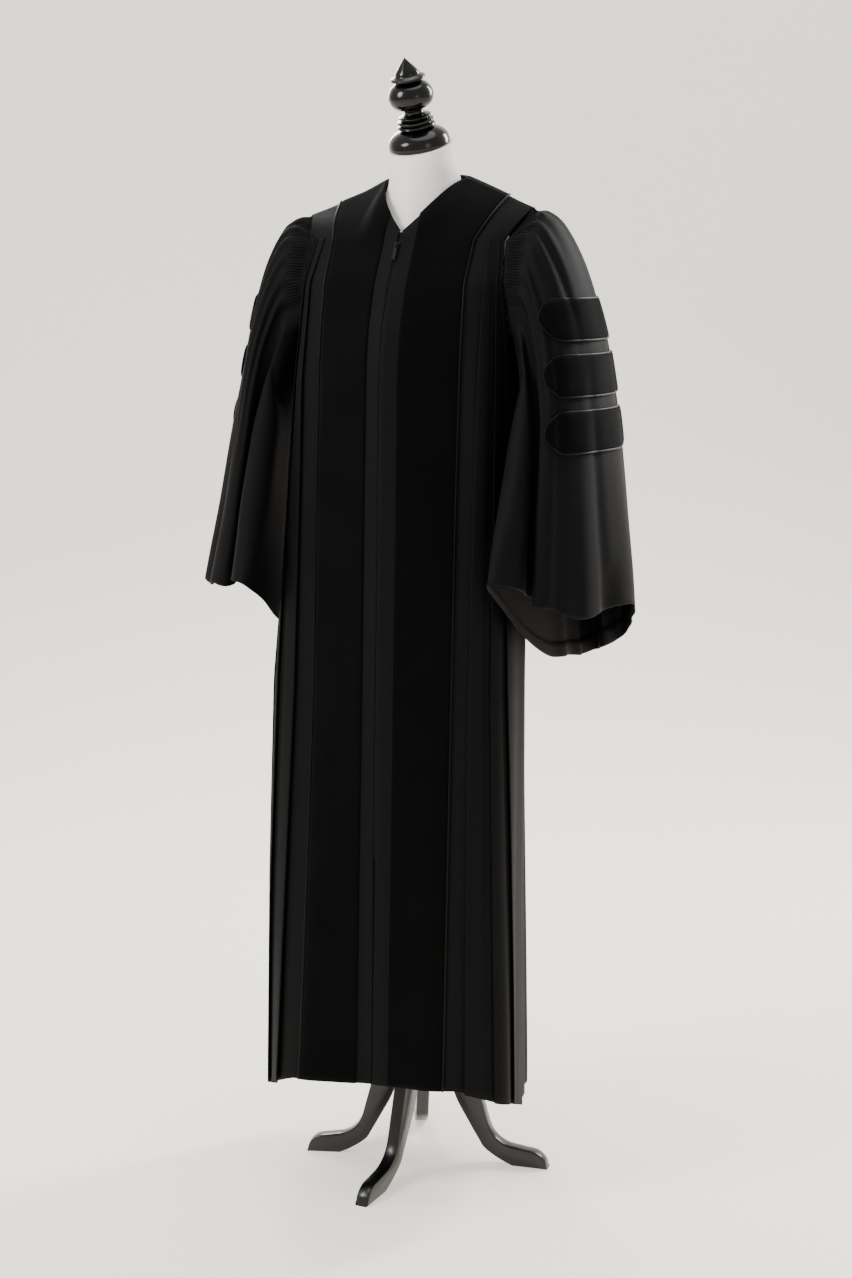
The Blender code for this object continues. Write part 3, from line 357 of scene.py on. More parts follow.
class Outline:
    """Plan curve of a panel at one height, read by the distance along it."""

    def __init__(self, keys, edge_key=None):
        self.curve = smooth_run(keys, 12)
        self.run = run_of(self.curve)
        self.total = self.run[-1]
        self.edge = self.run[12 * edge_key] if edge_key else 0.0

    def at(self, distance):
        x = np.interp(distance, self.run, self.curve[:, 0])
        y = np.interp(distance, self.run, self.curve[:, 1])
        x2 = np.interp(np.minimum(distance + 2.5, self.total), self.run, self.curve[:, 0])
        y2 = np.interp(np.minimum(distance + 2.5, self.total), self.run, self.curve[:, 1])
        x1 = np.interp(np.maximum(distance - 2.5, 0), self.run, self.curve[:, 0])
        y1 = np.interp(np.maximum(distance - 2.5, 0), self.run, self.curve[:, 1])
        size = np.hypot(x2 - x1, y2 - y1)
        return np.stack([x, y], -1), np.stack([(y2 - y1) / size, -(x2 - x1) / size], -1)


def front_outline(side, z):
    def at(name):
        return at_level(side, name, z)
    keys = [(0, at("front_y")), (at("edge_x") * 0.5, at("front_y") * 0.55 + at("edge_y") * 0.45),
            (at("edge_x"), at("edge_y")), (at("hip_x"), at("hip_y")), (at("side_x"), at("side_y"))]
    return Outline(keys, 2)


def wave_at(side, z, distance):
    """Height of the slow waves at a place of the front."""
    total = 0.0
    for wave_side, centre, width, height, dies in WAVES:
        if wave_side == side:
            fade = max(1 - (z - 150) / dies, 0) ** 1.4
            total = total + height * fade * np.exp(-((distance - centre) / width) ** 2)
    return total


def slot_at(z):
    """Half of the opening at the centre front: straight over the zip, nearly closed below it."""
    return float(np.interp(z, (160, 420, 540, 1405), (0.5, 0.9, 1.5, 1.5)))


def front_profile(side, z):
    """Distance and height above the plain surface for each column of one front at a level."""
    line = front_outline(side, z)
    depth, under = by_level(PLEAT_DEPTH, z), by_level(PLEAT_UNDER, z)
    room = line.total - line.edge
    starts = [min(by_level(row, z), room * 0.96 - 2 * (2 - i)) for i, row in enumerate(PLEATS[side])]
    ends = starts[1:] + [room]
    slot = slot_at(z)
    rows = [(slot, -2.2), (slot, -0.7), (slot + 0.9, 0.0)]
    rows += [(slot + 0.9 + (STRIP_WIDTH - slot) * k / 6, 0.0) for k in range(1, 6)]
    rows += [(STRIP_WIDTH + (line.edge - STRIP_WIDTH) * k / 6, 0.0) for k in range(7)]
    before, low = line.edge, 0.0
    for start, end in zip(starts, ends):
        fold, gap = line.edge + start, line.edge + end - (line.edge + start)
        reach = min(under, gap * 0.7)
        middle = (low + depth) / 2
        rows += [(before + (fold - before) * k / 4, low) for k in (1, 2, 3)]
        rows += [(fold + reach * 0.15, low), (fold + reach * 0.85, low), (fold + reach, (low + middle) / 2),
                 (fold + reach * 0.85, middle), (fold + reach * 0.2, middle),
                 (fold - 0.6, (middle + depth) / 2), (fold - 0.7, depth - 0.5), (fold - 0.2, depth),
                 (fold + 1.2, depth + 0.1)]
        before, low = fold + 1.2, depth * 0.25
        rows += [(before + (line.edge + end - before) * k / 8, depth * (1 - 0.75 * k / 8))
                 for k in range(1, 6)]
        before = rows[-1][0]
    high = rows[-1][1]
    rows += [(before + (line.total - before) * k / 5, high + (low - high) * k / 5) for k in range(1, 6)]
    return line, np.array(rows)


def hem_height(side, share):
    return np.interp(share, HEM_PLACES, HEM[side])


def front_points(side, levels):
    """Grid of one front from the hem to the yoke seam, and its map in mm of cloth."""
    grid, chart = [], []
    for z in levels:
        line, rows = front_profile(side, z)
        distance, lift = rows[:, 0], rows[:, 1]
        lift = lift + wave_at(side, z, distance)
        place, out = line.at(distance)
        flat = place + out * lift[:, None]
        cloth_run = run_of(np.stack([distance, lift], 1))
        grid.append(np.stack([flat[:, 0] * side, flat[:, 1], np.full(len(flat), z)], 1))
        chart.append(np.stack([cloth_run * side, np.full(len(flat), z)], 1))
    grid, chart = np.array(grid), np.array(chart)
    line, rows = front_profile(side, levels[1])
    hem = hem_height(side, rows[:, 0] / line.total).clip(HEM_LOWEST)
    fall = (levels[3] - grid[:, :, 2]).clip(0) / (levels[3] - levels[0])
    grid[:, :, 2] = grid[:, :, 2] + (hem - levels[0])[None] * fall
    chart[:, :, 1] = grid[:, :, 2]
    return grid, chart


def tucked(grid, chart, depth=1.6, rise=5.0):
    """Adds the seam allowance that stands behind the yoke."""
    row = grid[-1] + np.array([0, depth, rise])
    return np.concatenate([grid, row[None]]), np.concatenate([chart, chart[-1:] + np.array([0, rise])])


def underlapped(grid, chart, zip_end=520.0, reach=6.0, depth=3.0):
    """Adds the flap behind the centre opening, below the zip."""
    share = ((zip_end - grid[:, 0, 2]) / 25).clip(0.01, 1)[:, None]
    column = grid[:, 0] + share * np.array([-reach, depth, 0])
    return (np.concatenate([column[:, None], grid], axis=1),
            np.concatenate([chart[:, :1] - np.array([reach, 0]), chart], axis=1))


def grid_normals(grid, closed=False):
    """Outward normals of a grid whose columns run to the right, seen from outside."""
    if closed:
        across = np.roll(grid, -1, axis=1) - np.roll(grid, 1, axis=1)
    else:
        across = np.gradient(grid, axis=1)
    normal = np.cross(across, np.gradient(grid, axis=0))
    return normal / np.maximum(np.linalg.norm(normal, axis=2, keepdims=True), 1e-9)


def shell(node, grid, chart, material, wall, closed=False, side=LEFT, name=None):
    """Thin shell of cloth on a grid: outer skin, inner skin and the raw edges between them."""
    normal = grid_normals(grid, closed) * side
    inner = grid - normal * wall
    rows, cols = grid.shape[:2]
    count = rows * cols
    faces = []
    last = cols if closed else cols - 1
    for r in range(rows - 1):
        for c in range(last):
            d = (c + 1) % cols
            a, b, e, f = r * cols + c, r * cols + d, (r + 1) * cols + d, (r + 1) * cols + c
            faces.append((a, b, e, f))
            faces.append((count + f, count + e, count + b, count + a))
    for r in (0, rows - 1):
        for c in range(last):
            d = (c + 1) % cols
            a, b = r * cols + c, r * cols + d
            faces.append((a, count + a, count + b, b) if r == 0 else (a, b, count + b, count + a))
    if not closed:
        for c in (0, cols - 1):
            for r in range(rows - 1):
                a, b = r * cols + c, (r + 1) * cols + c
                faces.append((a, b, count + b, count + a) if c == 0 else (a, count + a, count + b, b))
    if side == RIGHT:
        faces = [face[::-1] for face in faces]
    points = np.vstack([grid.reshape(-1, 3), inner.reshape(-1, 3)])
    uv = np.vstack([np.asarray(chart).reshape(-1, 2)] * 2)
    return mesh_object(node, points, faces, material, uv=uv, name=name)


# Matt black worsted: fine plain weave, dry, with a faint sheen on turned folds.
gown_cloth, shader = new_material("black worsted", "050506", 0.72, Sheen_Weight=0.02, Sheen_Roughness=0.25,
                                  Specular_IOR_Level=0.095)
shader.inputs["Sheen Tint"].default_value = linear("A8A8AA")
cloth_map = add_node(gown_cloth, "ShaderNodeUVMap", uv_map="cloth")
spread = add_node(gown_cloth, "ShaderNodeMapping", {"Vector": cloth_map.outputs["UV"],
                                                    "Scale": (1700, 1500, 1)})
warp = add_node(gown_cloth, "ShaderNodeTexNoise", {"Vector": spread.outputs["Vector"], "Scale": 1.0,
                                                   "Detail": 2.0})
ridges = add_node(gown_cloth, "ShaderNodeTexWave", {"Vector": cloth_map.outputs["UV"], "Scale": 260.0,
                                                    "Distortion": 1.5, "Detail": 1.0}, bands_direction="X")
mixed = add_node(gown_cloth, "ShaderNodeMath", {0: warp.outputs["Fac"], 1: ridges.outputs["Fac"]},
                 operation="MULTIPLY")
weave = emboss(gown_cloth, mixed.outputs["Value"], 0.30, 0.0004)
object_map = add_node(gown_cloth, "ShaderNodeTexCoord")
rumple = add_node(gown_cloth, "ShaderNodeTexNoise", {"Vector": object_map.outputs["Object"], "Scale": 11.0,
                                                     "Detail": 3.0, "Roughness": 0.55})
emboss(gown_cloth, rumple.outputs["Fac"], 0.20, 0.004, below=weave)
CLOTH_WALL = 0.9

FRONT_LEVELS = [150.0, 168.0, 186.0, 215.0] + [float(z) for z in np.arange(245, 1205, 24)] + [
    float(z) for z in np.arange(1207, TOP_Z - 4, 9)] + [TOP_Z]
for side, word in SIDES.items():
    grid, chart = front_points(side, FRONT_LEVELS)
    grid, chart = tucked(grid, chart)
    if side == LEFT:
        grid, chart = underlapped(grid, chart)
    shell(f"front_{word}", grid, chart, gown_cloth, CLOTH_WALL, side=side)

# ---- Yokes: two front pieces and one back piece, meeting at the shoulder lines ----
# Top edge, from the zip to the sleeve: neckline, side of the neck, shoulder line.
NECK_AND_SHOULDER = (
    ("v", 1.6, -74, 1420), ("strip", 22, -60, 1442), ("neck 1", 39, -40, 1464), ("neck 2", 53, -8, 1485),
    ("neck side", 62, 30, 1497), ("velvet", 96, 21, 1484), ("velvet edge", 130, 12, 1470),
    ("yoke", 151, 6, 1461), ("tip", 172, 0, 1453),
)
SHOULDER_DROP = {LEFT: 0.0, RIGHT: 8.0}
BACK_NECK = ((0, 72, 1502), (24, 68, 1501), (46, 54, 1499))
# Lower edge of the velvet round the back of the neck, as a share of the yoke's height.
BAND_LOW = (0.88, 0.68, 0.52, 0.40, 0.31, 0.28)


def settled(points):
    """Points of the upper gown with the right shoulder let down."""
    points = np.array(points, float)
    share = ((np.abs(points[..., 0]) - 50) / 46).clip(0, 1) * ((points[..., 2] - YOKE_Z) / 48).clip(0, 1)
    points[..., 2] -= np.where(points[..., 0] > 0, SHOULDER_DROP[LEFT], SHOULDER_DROP[RIGHT]) * share
    return points


def along_rows(curve, marks, steps):
    """Reads a smoothed curve at places counted in its own rows."""
    places = np.arange(len(curve)) / steps
    return np.stack([np.interp(marks, places, curve[:, k]) for k in range(curve.shape[1])], -1)


def yoke_points(side, marks, heights):
    """Front yoke: marks run from the zip (0) over the velvet's edge (6) to the sleeve (8), heights 0 to 1."""
    line = front_outline(side, YOKE_Z)
    places = [slot_at(YOKE_Z) + 0.9] + [STRIP_WIDTH + (line.edge - STRIP_WIDTH) * k / 5 for k in range(6)]
    places += [(line.edge + line.total) / 2, line.total]
    flat, _ = line.at(np.interp(marks, np.arange(9), places))
    low = np.column_stack([flat, np.full(len(marks), YOKE_Z + 0.2)])
    table = np.array([row[1:] for row in NECK_AND_SHOULDER], float)
    neck, shoulder = smooth_run(table[:5], 8), smooth_run(table[4:], 8)
    high = np.where((np.asarray(marks) < 4)[:, None], along_rows(neck, np.minimum(marks, 4), 8),
                    along_rows(shoulder, np.maximum(marks, 4) - 4, 8))
    rise = high - low
    bulge = np.array([0.25, -0.75, 0.55]) * np.minimum(np.linalg.norm(rise, axis=1), 90)[:, None] * 0.07
    t = np.asarray(heights)[:, None, None]
    grid = low[None] + rise[None] * t + bulge[None] * np.sin(math.pi * t)
    grid[:, :, 0] *= side
    return settled(grid)


def back_outline(z):
    left = {name: at_level(LEFT, name, z) for name in LEVEL}
    right = {name: at_level(RIGHT, name, z) for name in LEVEL}
    keys = [(left["rear_x"], left["rear_y"]),
            (left["blade_x"] * 0.45 + left["rear_x"] * 0.55, left["blade_y"] * 0.62 + left["rear_y"] * 0.38),
            (left["blade_x"], left["blade_y"]), (0, left["back_y"]), (-right["blade_x"], right["blade_y"]),
            (-right["blade_x"] * 0.45 - right["rear_x"] * 0.55,
             right["blade_y"] * 0.62 + right["rear_y"] * 0.38),
            (-right["rear_x"], right["rear_y"])]
    return Outline(keys)


def back_yoke_points(marks, heights):
    """Back yoke: marks run from the left sleeve (0) over the middle (7) to the right sleeve (14)."""
    table = [row[1:] for row in NECK_AND_SHOULDER[:3:-1]] + [BACK_NECK[2], BACK_NECK[1], BACK_NECK[0]]
    table = np.array(table + [(-x, y, z) for x, y, z in table[-2::-1]], float)
    parts = [smooth_run(table[a:b], 8)[:-1] for a, b in ((0, 5), (4, 11), (10, 15))]
    top = along_rows(np.vstack(parts + [table[-1:]]), marks, 8)
    half = [0, 0.07, 0.14, 0.22, 0.30, 0.355, 0.43, 0.5]
    shares = np.interp(marks, np.arange(15), half + [1 - s for s in half[-2::-1]])
    line = back_outline(YOKE_Z)
    flat, _ = line.at(shares * line.total)
    low = np.column_stack([flat, np.full(len(marks), YOKE_Z + 0.2)])
    rise = top - low
    bulge = np.array([0, 0.75, 0.55]) * np.minimum(np.linalg.norm(rise, axis=1), 90)[:, None] * 0.10
    t = np.asarray(heights)[..., None]
    t = t[:, None] if t.ndim == 2 else t
    return settled(low[None] + rise[None] * t + bulge[None] * np.sin(math.pi * t))


def chart_of(grid):
    """Map of a grid in mm of cloth: across along its rows, up along its columns."""
    across = np.concatenate([np.zeros((len(grid), 1)),
                             np.cumsum(np.linalg.norm(np.diff(grid, axis=1), axis=2), axis=1)], 1)
    up = np.concatenate([np.zeros((1, grid.shape[1])),
                         np.cumsum(np.linalg.norm(np.diff(grid, axis=0), axis=2), axis=0)], 0)
    return np.stack([across, up], -1)


def seamed(grid, depth=0.7, side=LEFT, bottom=False, top=False, left=False, right=False):
    """Lets a panel's sewn edges sink a little, as they do beside a seam."""
    grid = grid.copy()
    normal = grid_normals(grid) * side
    for wanted, where in ((bottom, np.s_[0, :]), (top, np.s_[-1, :]),
                          (left, np.s_[:, 0]), (right, np.s_[:, -1])):
        if wanted:
            grid[where] -= normal[where] * depth
    return grid


def close_to_ends(low, high, count, margin):
    """Even places with one more close to each end."""
    inner = np.linspace(low + margin, high - margin, count)
    return np.concatenate([[low], inner, [high]])


for side, word in SIDES.items():
    grid = yoke_points(side, close_to_ends(0, 8, 44, 0.06), close_to_ends(0, 1, 14, 0.03))
    grid = seamed(grid, side=side, bottom=True, top=True, right=True)
    shell(f"yoke_{word}", grid, chart_of(grid), gown_cloth, CLOTH_WALL,
                        side=side)
grid = back_yoke_points(close_to_ends(0, 14, 90, 0.05), close_to_ends(0, 1, 14, 0.03))
grid = seamed(grid, bottom=True, top=True, left=True, right=True)
back_yoke = shell("yoke_back", grid, chart_of(grid), gown_cloth, CLOTH_WALL)

# ---- Back: one wide panel gathered into the yoke, hanging in soft folds ----
# Soft folds: where across the back (0 = left side seam, 1 = right) and how far they stand out.
BACK_FOLDS = (
    (0.00, 0.0), (0.07, 0.5), (0.13, -0.6), (0.20, 1.0), (0.27, -0.8), (0.34, 0.9), (0.41, -1.0), (0.47, 1.1),
    (0.53, -1.0), (0.60, 1.0), (0.67, -0.7), (0.75, 1.0), (0.82, -0.9), (0.90, 0.6), (0.96, 0.2), (1.00, 0.0),
)
BACK_FOLD_DEPTH = ((120, 15.0), (765, 10.0), (1285, 4.0), (1405, 0.6))
GATHERS = 58           # small gathers along the yoke seam, which run out below it
HEM_BACK = 118
# On the figure's left the back's hem rises by so much towards the side seam: from this place out, over
# this run, fading out at this level.
RISE, RISE_FROM, RISE_RUN, RISE_TOP = 24, 150, 45, 215


def back_points(levels, count=231):
    shares = np.linspace(0, 1, count)
    marks, heights = zip(*BACK_FOLDS)
    fold = np.interp(shares, marks, heights)
    window = np.hanning(15)[1:-1]
    smooth = np.convolve(np.pad(fold, 6, mode="edge"), window / window.sum(), "valid")
    grid = []
    for z in levels:
        line = back_outline(z)
        place, out = line.at(shares * line.total)
        depth = float(np.interp(z, *zip(*BACK_FOLD_DEPTH)))
        drift = 0.006 * math.sin(z / 140)
        lift = np.interp(shares + drift, shares, smooth) * depth * 0.5
        ripple = np.sin(shares * GATHERS * 2 * math.pi + 1.3 * np.sin(shares * 19))
        to_seam = np.minimum(shares, 1 - shares)
        lift = lift + ripple * 1.1 * max(1 - (TOP_Z - z) / 150, 0) ** 1.5 * to_seam ** 0.3
        lift = lift * np.minimum(1, to_seam * 40)
        flat = place + out * lift[:, None]
        near_hem = min(max((RISE_TOP - z) / (RISE_TOP - HEM_BACK), 0), 1)
        rise = RISE * ((flat[:, 0] - RISE_FROM) / RISE_RUN).clip(0, 1) * near_hem
        grid.append(np.column_stack([flat, z + rise]))
    return np.array(grid)


back_levels = [float(HEM_BACK)] + [float(z) for z in np.arange(140, 1205, 30)] + [
    float(z) for z in np.arange(1207, TOP_Z - 3, 7)] + [TOP_Z]
grid = seamed(back_points(back_levels), top=True, left=True, right=True)
grid, chart = tucked(grid, chart_of(grid), depth=-1.6)
back = shell("back", grid, chart, gown_cloth, CLOTH_WALL)

# ---- Velvet facings: a band down each front, over the shoulders and round the back of the neck ----
VELVET_LIFT = 1.9
VELVET_WALL = 1.1
velvet, shader = new_material("black velvet", "040404", 1.0, Sheen_Weight=0.10, Sheen_Roughness=0.5,
                              Specular_IOR_Level=0.04)
shader.inputs["Sheen Tint"].default_value = linear("8A8A8E")
nap_map = add_node(velvet, "ShaderNodeTexCoord")
nap, brushed = (add_node(velvet, "ShaderNodeTexNoise", {"Vector": nap_map.outputs["Object"], "Scale": scale,
                                                        "Detail": detail})
                for scale, detail in ((1600.0, 2.0), (14.0, 4.0)))
emboss(velvet, nap.outputs["Fac"], 0.5, 0.0006)
shade = add_node(velvet, "ShaderNodeMapRange", {"Value": brushed.outputs["Fac"], "To Min": 0.04,
                                                "To Max": 0.18})
feed(velvet, "Sheen Weight", shade.outputs["Result"])


def facing_points(side, columns=18):
    """Velvet of one front from the hem to the shoulder line, on the panels' own surface."""
    rows = []
    for z in FRONT_LEVELS:
        line = front_outline(side, z)
        distance = close_to_ends(STRIP_WIDTH, line.edge, columns, 1.2)
        place, out = line.at(distance)
        flat = place + out * wave_at(side, z, distance)[:, None]
        height = z
        if z < FRONT_LEVELS[3]:
            fall = (FRONT_LEVELS[3] - z) / (FRONT_LEVELS[3] - FRONT_LEVELS[0])
            height = z + (hem_height(side, distance / line.total) - FRONT_LEVELS[0]) * fall
        rows.append(np.column_stack([flat[:, 0] * side, flat[:, 1], np.zeros(len(flat)) + height]))
    marks = 1 + close_to_ends(0, 5, columns, 0.07)
    upper = yoke_points(side, marks, np.linspace(0.02, 1, 15))
    return np.vstack([np.array(rows), upper])


def pillowed(grid, side, lift):
    """Raises a band off the panel below, with its edges rolled down to it."""
    normal = grid_normals(grid) * side
    amount = np.full(grid.shape[:2], lift)
    amount[:, 0] = amount[:, -1] = lift * 0.55
    return grid + normal * amount[:, :, None]


def cord_object(node, path, radius, sides=12, closed=False):
    """Round satin cord along a path in mm."""
    path = np.asarray(path, float)
    if closed:
        run = np.roll(path, -1, 0) - np.roll(path, 1, 0)
    else:
        run = np.gradient(path, axis=0)
    run /= np.linalg.norm(run, axis=1, keepdims=True)
    up = Vector(run[0]).orthogonal().normalized()
    points = []
    for place, ahead in zip(path, run):
        ahead = Vector(ahead)
        up = (up - ahead * up.dot(ahead)).normalized()
        across = ahead.cross(up)
        for k in range(sides):
            a = 2 * math.pi * k / sides
            points.append(Vector(place) + (up * math.cos(a) + across * math.sin(a)) * radius)
    count = len(path)
    points = np.array([tuple(p) for p in points])
    faces = tube_faces(count, sides)
    if closed:
        last, first = points[-sides:], points[:sides]
        shift = min(range(sides), key=lambda s: np.linalg.norm(last - np.roll(first, -s, 0)))
        end = (count - 1) * sides
        faces += [(end + k, end + (k + 1) % sides, ((k + 1) % sides + shift) % sides, (k + shift) % sides)
                  for k in range(sides)]
    else:
        faces += end_faces(count, sides)
    lengths = run_of(path)
    uv = np.array([(k * radius, lengths[i]) for i in range(count) for k in range(sides)])
    return mesh_object(node, points, faces, satin, uv=uv)


satin, shader = new_material("black satin", "030303", 0.42, Specular_IOR_Level=0.10)
satin_map = add_node(satin, "ShaderNodeUVMap", uv_map="cloth")
twist = add_node(satin, "ShaderNodeMapping", {"Vector": satin_map.outputs["UV"], "Rotation": (0, 0, 0.8)})
strands = add_node(satin, "ShaderNodeTexWave", {"Vector": twist.outputs["Vector"], "Scale": 300.0})
emboss(satin, strands.outputs["Fac"], 0.18, 0.0002)

PIPING_RADIUS = 1.8


def edge_path(grid, edge, away, side, height):
    """Path just outside one edge of a band, on the panel the band lies on."""
    normal = grid_normals(grid) * side
    run = np.gradient(grid[:, edge], axis=0)
    run /= np.linalg.norm(run, axis=1, keepdims=True)
    beyond = grid[:, edge] - grid[:, away]
    beyond -= run * (beyond * run).sum(1, keepdims=True)
    beyond /= np.linalg.norm(beyond, axis=1, keepdims=True)
    return grid[:, edge] + beyond * (PIPING_RADIUS + 0.2) + normal[:, edge] * height


for side, word in SIDES.items():
    grid = facing_points(side)
    raised = pillowed(grid, side, VELVET_LIFT)
    shell(f"facing_{word}", raised, chart_of(raised), velvet, VELVET_WALL,
                          side=side)
    cord_object(f"piping_{word}", edge_path(grid, -1, -3, side, 1.5), PIPING_RADIUS)


def back_facing_points():
    marks = close_to_ends(2, 12, 60, 0.06)
    low = np.interp(np.minimum(marks, 14 - marks), np.arange(2, 8), BAND_LOW)
    heights = low[None] + (1 - low)[None] * close_to_ends(0, 1, 12, 0.05)[:, None]
    return back_yoke_points(marks, heights)


grid = back_facing_points()
normal = grid_normals(grid)
amount = np.full(grid.shape[:2], VELVET_LIFT)
amount[0] = VELVET_LIFT * 0.55
raised = grid + normal * amount[:, :, None]
back_facing = shell("facing_back", raised, chart_of(raised), velvet, VELVET_WALL)
turned_grid = grid.transpose(1, 0, 2)[:, ::-1]
path = edge_path(turned_grid, -1, -3, LEFT, 0.0) + normal[0] * 1.5
cord_object("piping_back", path, PIPING_RADIUS)

# ---- Sleeves: wide bell sleeves, gathered at the head, folded in two lobes at the hem ----
# Section from the armhole to the hem: outer and inner ends of each, front and back.
SLEEVE_RINGS = (
    (189, 1450, 181, 1190, -92, 98), (216, 1422, 188, 1155, -104, 110), (246, 1366, 193, 1105, -120, 122),
    (270, 1290, 197, 1055, -136, 134), (286, 1200, 199, 1000, -152, 144), (298, 1110, 201, 945, -168, 150),
    (308, 1020, 202, 890, -182, 154), (316, 950, 204, 840, -194, 158), (321, 893, 206, 800, -203, 160),
)
# Round the sleeve: place on the armhole, place on the bell (out, front, as parts of its half sizes),
# and how far the hem lies above the level of the section there.
SLEEVE_FOLDS = (
    ("outer", 0, 1.00, 0.00, 0), ("outer front", 22, 0.87, 0.36, 3), ("front round", 44, 0.50, 0.66, 14),
    ("main fold", 66, 0.10, 0.88, 44), ("main edge", 84, -0.32, 0.92, 62), ("valley", 97, -0.54, 0.72, 76),
    ("lobe side", 109, -0.76, 1.05, 100), ("lobe tip", 123, -1.25, 1.18, 122),
    ("lobe inner", 141, -1.30, 0.82, 92), ("inner front", 161, -1.14, 0.40, 42),
    ("inner", 182, -1.00, -0.05, 6),
    ("inner back", 204, -1.00, -0.48, -4), ("back lobe in", 224, -1.02, -0.86, -14),
    ("back lobe", 240, -0.72, -1.02, -24), ("back valley", 254, -0.36, -0.84, -30),
    ("back edge", 268, -0.06, -1.00, -34), ("back round", 302, 0.50, -0.82, -27),
    ("outer back", 334, 0.90, -0.42, -15),
)
SLEEVE_SHIFT = {LEFT: (0, 0, 0), RIGHT: (-2, 0, 20)}
SLEEVE_RISE = {LEFT: 1.25, RIGHT: 0.88}
SLEEVE_REACH = {LEFT: 1.0, RIGHT: 0.84}
SLEEVE_BOW = {LEFT: 0, RIGHT: 14}
# Creases: place round the sleeve at the top and at the bottom, where along it they start and end
# (0 = armhole, 1 = hem), half width in degrees, depth (minus is a trough).
CREASES = {
    LEFT: (
        ("cap", 8, 8, 0.00, 0.20, 34.0, -6.5), ("head 1", 20, 10, 0.00, 0.34, 5.0, -2.6),
        ("head 2", 33, 24, 0.00, 0.52, 4.0, -4.0),
        ("head 3", 45, 40, 0.00, 0.38, 3.5, -3.0), ("head 4", 59, 56, 0.00, 0.74, 5.0, -5.2),
        ("head 5", 74, 73, 0.00, 0.58, 4.5, -4.8), ("head 6", 87, 88, 0.00, 0.72, 5.0, -5.6),
        ("valley", 100, 97, 0.10, 1.00, 5.0, -13.0), ("main roll", 84, 84, 0.30, 1.00, 8.0, 3.2),
        ("lobe roll", 112, 112, 0.36, 1.00, 8.0, 5.0), ("lobe crease", 120, 117, 0.42, 0.80, 3.5, -3.0),
        ("lobe fill", 124, 124, 0.24, 0.97, 15.0, 13.0), ("main slack", 52, 62, 0.40, 1.00, 8.0, -5.0),
        ("main low", 34, 38, 0.55, 1.00, 8.0, 4.6), ("outer run", 26, 20, 0.40, 1.00, 5.0, -4.6),
        ("hem turn", 20, 14, 0.86, 1.00, 7.0, -8.0), ("hem roll", 356, 354, 0.55, 1.00, 14.0, 9.0),
        ("outer", 350, 352, 0.05, 0.60, 7.0, 3.0), ("outer trough", 338, 336, 0.04, 0.80, 7.0, -4.6),
        ("back 1", 318, 322, 0.00, 0.60, 5.0, -4.6), ("back 2", 300, 302, 0.00, 0.76, 6.0, -5.4),
        ("back 3", 284, 286, 0.00, 0.54, 5.0, -4.6), ("back 4", 262, 258, 0.00, 0.86, 6.0, -5.4),
        ("back low", 274, 276, 0.50, 1.00, 8.0, 4.4), ("back far", 312, 310, 0.55, 1.00, 9.0, -4.6),
        ("back lobe", 240, 240, 0.40, 1.00, 7.0, 4.0), ("inner", 190, 196, 0.30, 1.00, 6.0, -8.0),
        ("inner back", 212, 217, 0.55, 1.00, 5.0, -9.0),
    ),
    RIGHT: (
        ("cap", 8, 8, 0.00, 0.20, 34.0, -6.5), ("head 1", 22, 12, 0.00, 0.46, 5.0, -4.4),
        ("head 2", 36, 28, 0.00, 0.60, 5.0, -5.2),
        ("head 3", 50, 47, 0.00, 0.54, 4.5, -5.4), ("head 4", 64, 66, 0.00, 0.70, 5.0, -5.6),
        ("head 5", 78, 80, 0.00, 0.66, 4.5, -5.6), ("head 6", 91, 92, 0.00, 0.60, 4.5, -4.8),
        ("valley", 102, 98, 0.12, 1.00, 5.0, -13.0), ("main roll", 84, 83, 0.28, 1.00, 8.0, 3.4),
        ("lobe roll", 112, 113, 0.36, 1.00, 8.0, 5.0), ("lobe fill", 124, 124, 0.24, 0.97, 15.0, 13.0),
        ("main slack", 50, 46, 0.34, 1.00, 6.0, -6.4), ("main low", 30, 32, 0.48, 1.00, 8.0, 4.8),
        ("outer slack", 14, 12, 0.40, 1.00, 6.0, -5.6), ("hem roll", 0, 358, 0.72, 1.00, 8.0, 3.6),
        ("outer trough", 336, 340, 0.04, 0.78, 7.0, -4.4), ("back 1", 320, 318, 0.00, 0.62, 5.0, -4.6),
        ("back 2", 302, 300, 0.00, 0.70, 6.0, -5.4), ("back 3", 282, 284, 0.00, 0.60, 5.0, -4.4),
        ("back 4", 264, 262, 0.00, 0.80, 6.0, -5.2), ("back low", 272, 274, 0.52, 1.00, 8.0, 4.4),
        ("back far", 310, 314, 0.50, 1.00, 9.0, -4.6), ("back lobe", 242, 240, 0.42, 1.00, 7.0, 4.0),
        ("inner", 192, 194, 0.34, 1.00, 6.0, -7.0), ("inner back", 214, 218, 0.60, 1.00, 5.0, -8.0),
    ),
}
SLEEVE_WALL = 0.8
ROUND_STEPS = 14
LONG_STEPS = 9


def armhole(places):
    """Edge of the armhole: 0 at the shoulder tip, 90 towards the front, 180 under the arm."""
    tip = NECK_AND_SHOULDER[-1][1:]
    stations = [(0, *tip)]
    for edge, levels in (("side", ((38, 1405), (72, 1345), (106, 1285), (140, 1235), (180, 1207))),
                         ("rear", ((220, 1235), (254, 1285), (288, 1345), (322, 1405)))):
        stations += [(place, at_level(LEFT, edge + "_x", z), at_level(LEFT, edge + "_y", z), z)
                     for place, z in levels]
    stations = np.array(stations + [(360, *tip)])
    return np.stack([np.interp(np.mod(places, 360), stations[:, 0], stations[:, k]) for k in (1, 2, 3)], -1)


def closed_smooth(rows, steps):
    """Closed Catmull-Rom curve through rows of numbers."""
    rows = np.asarray(rows, float)
    count = len(rows)
    return smooth_run(np.vstack([rows[-1:], rows, rows[:2]]), steps)[steps:steps * (count + 1)]


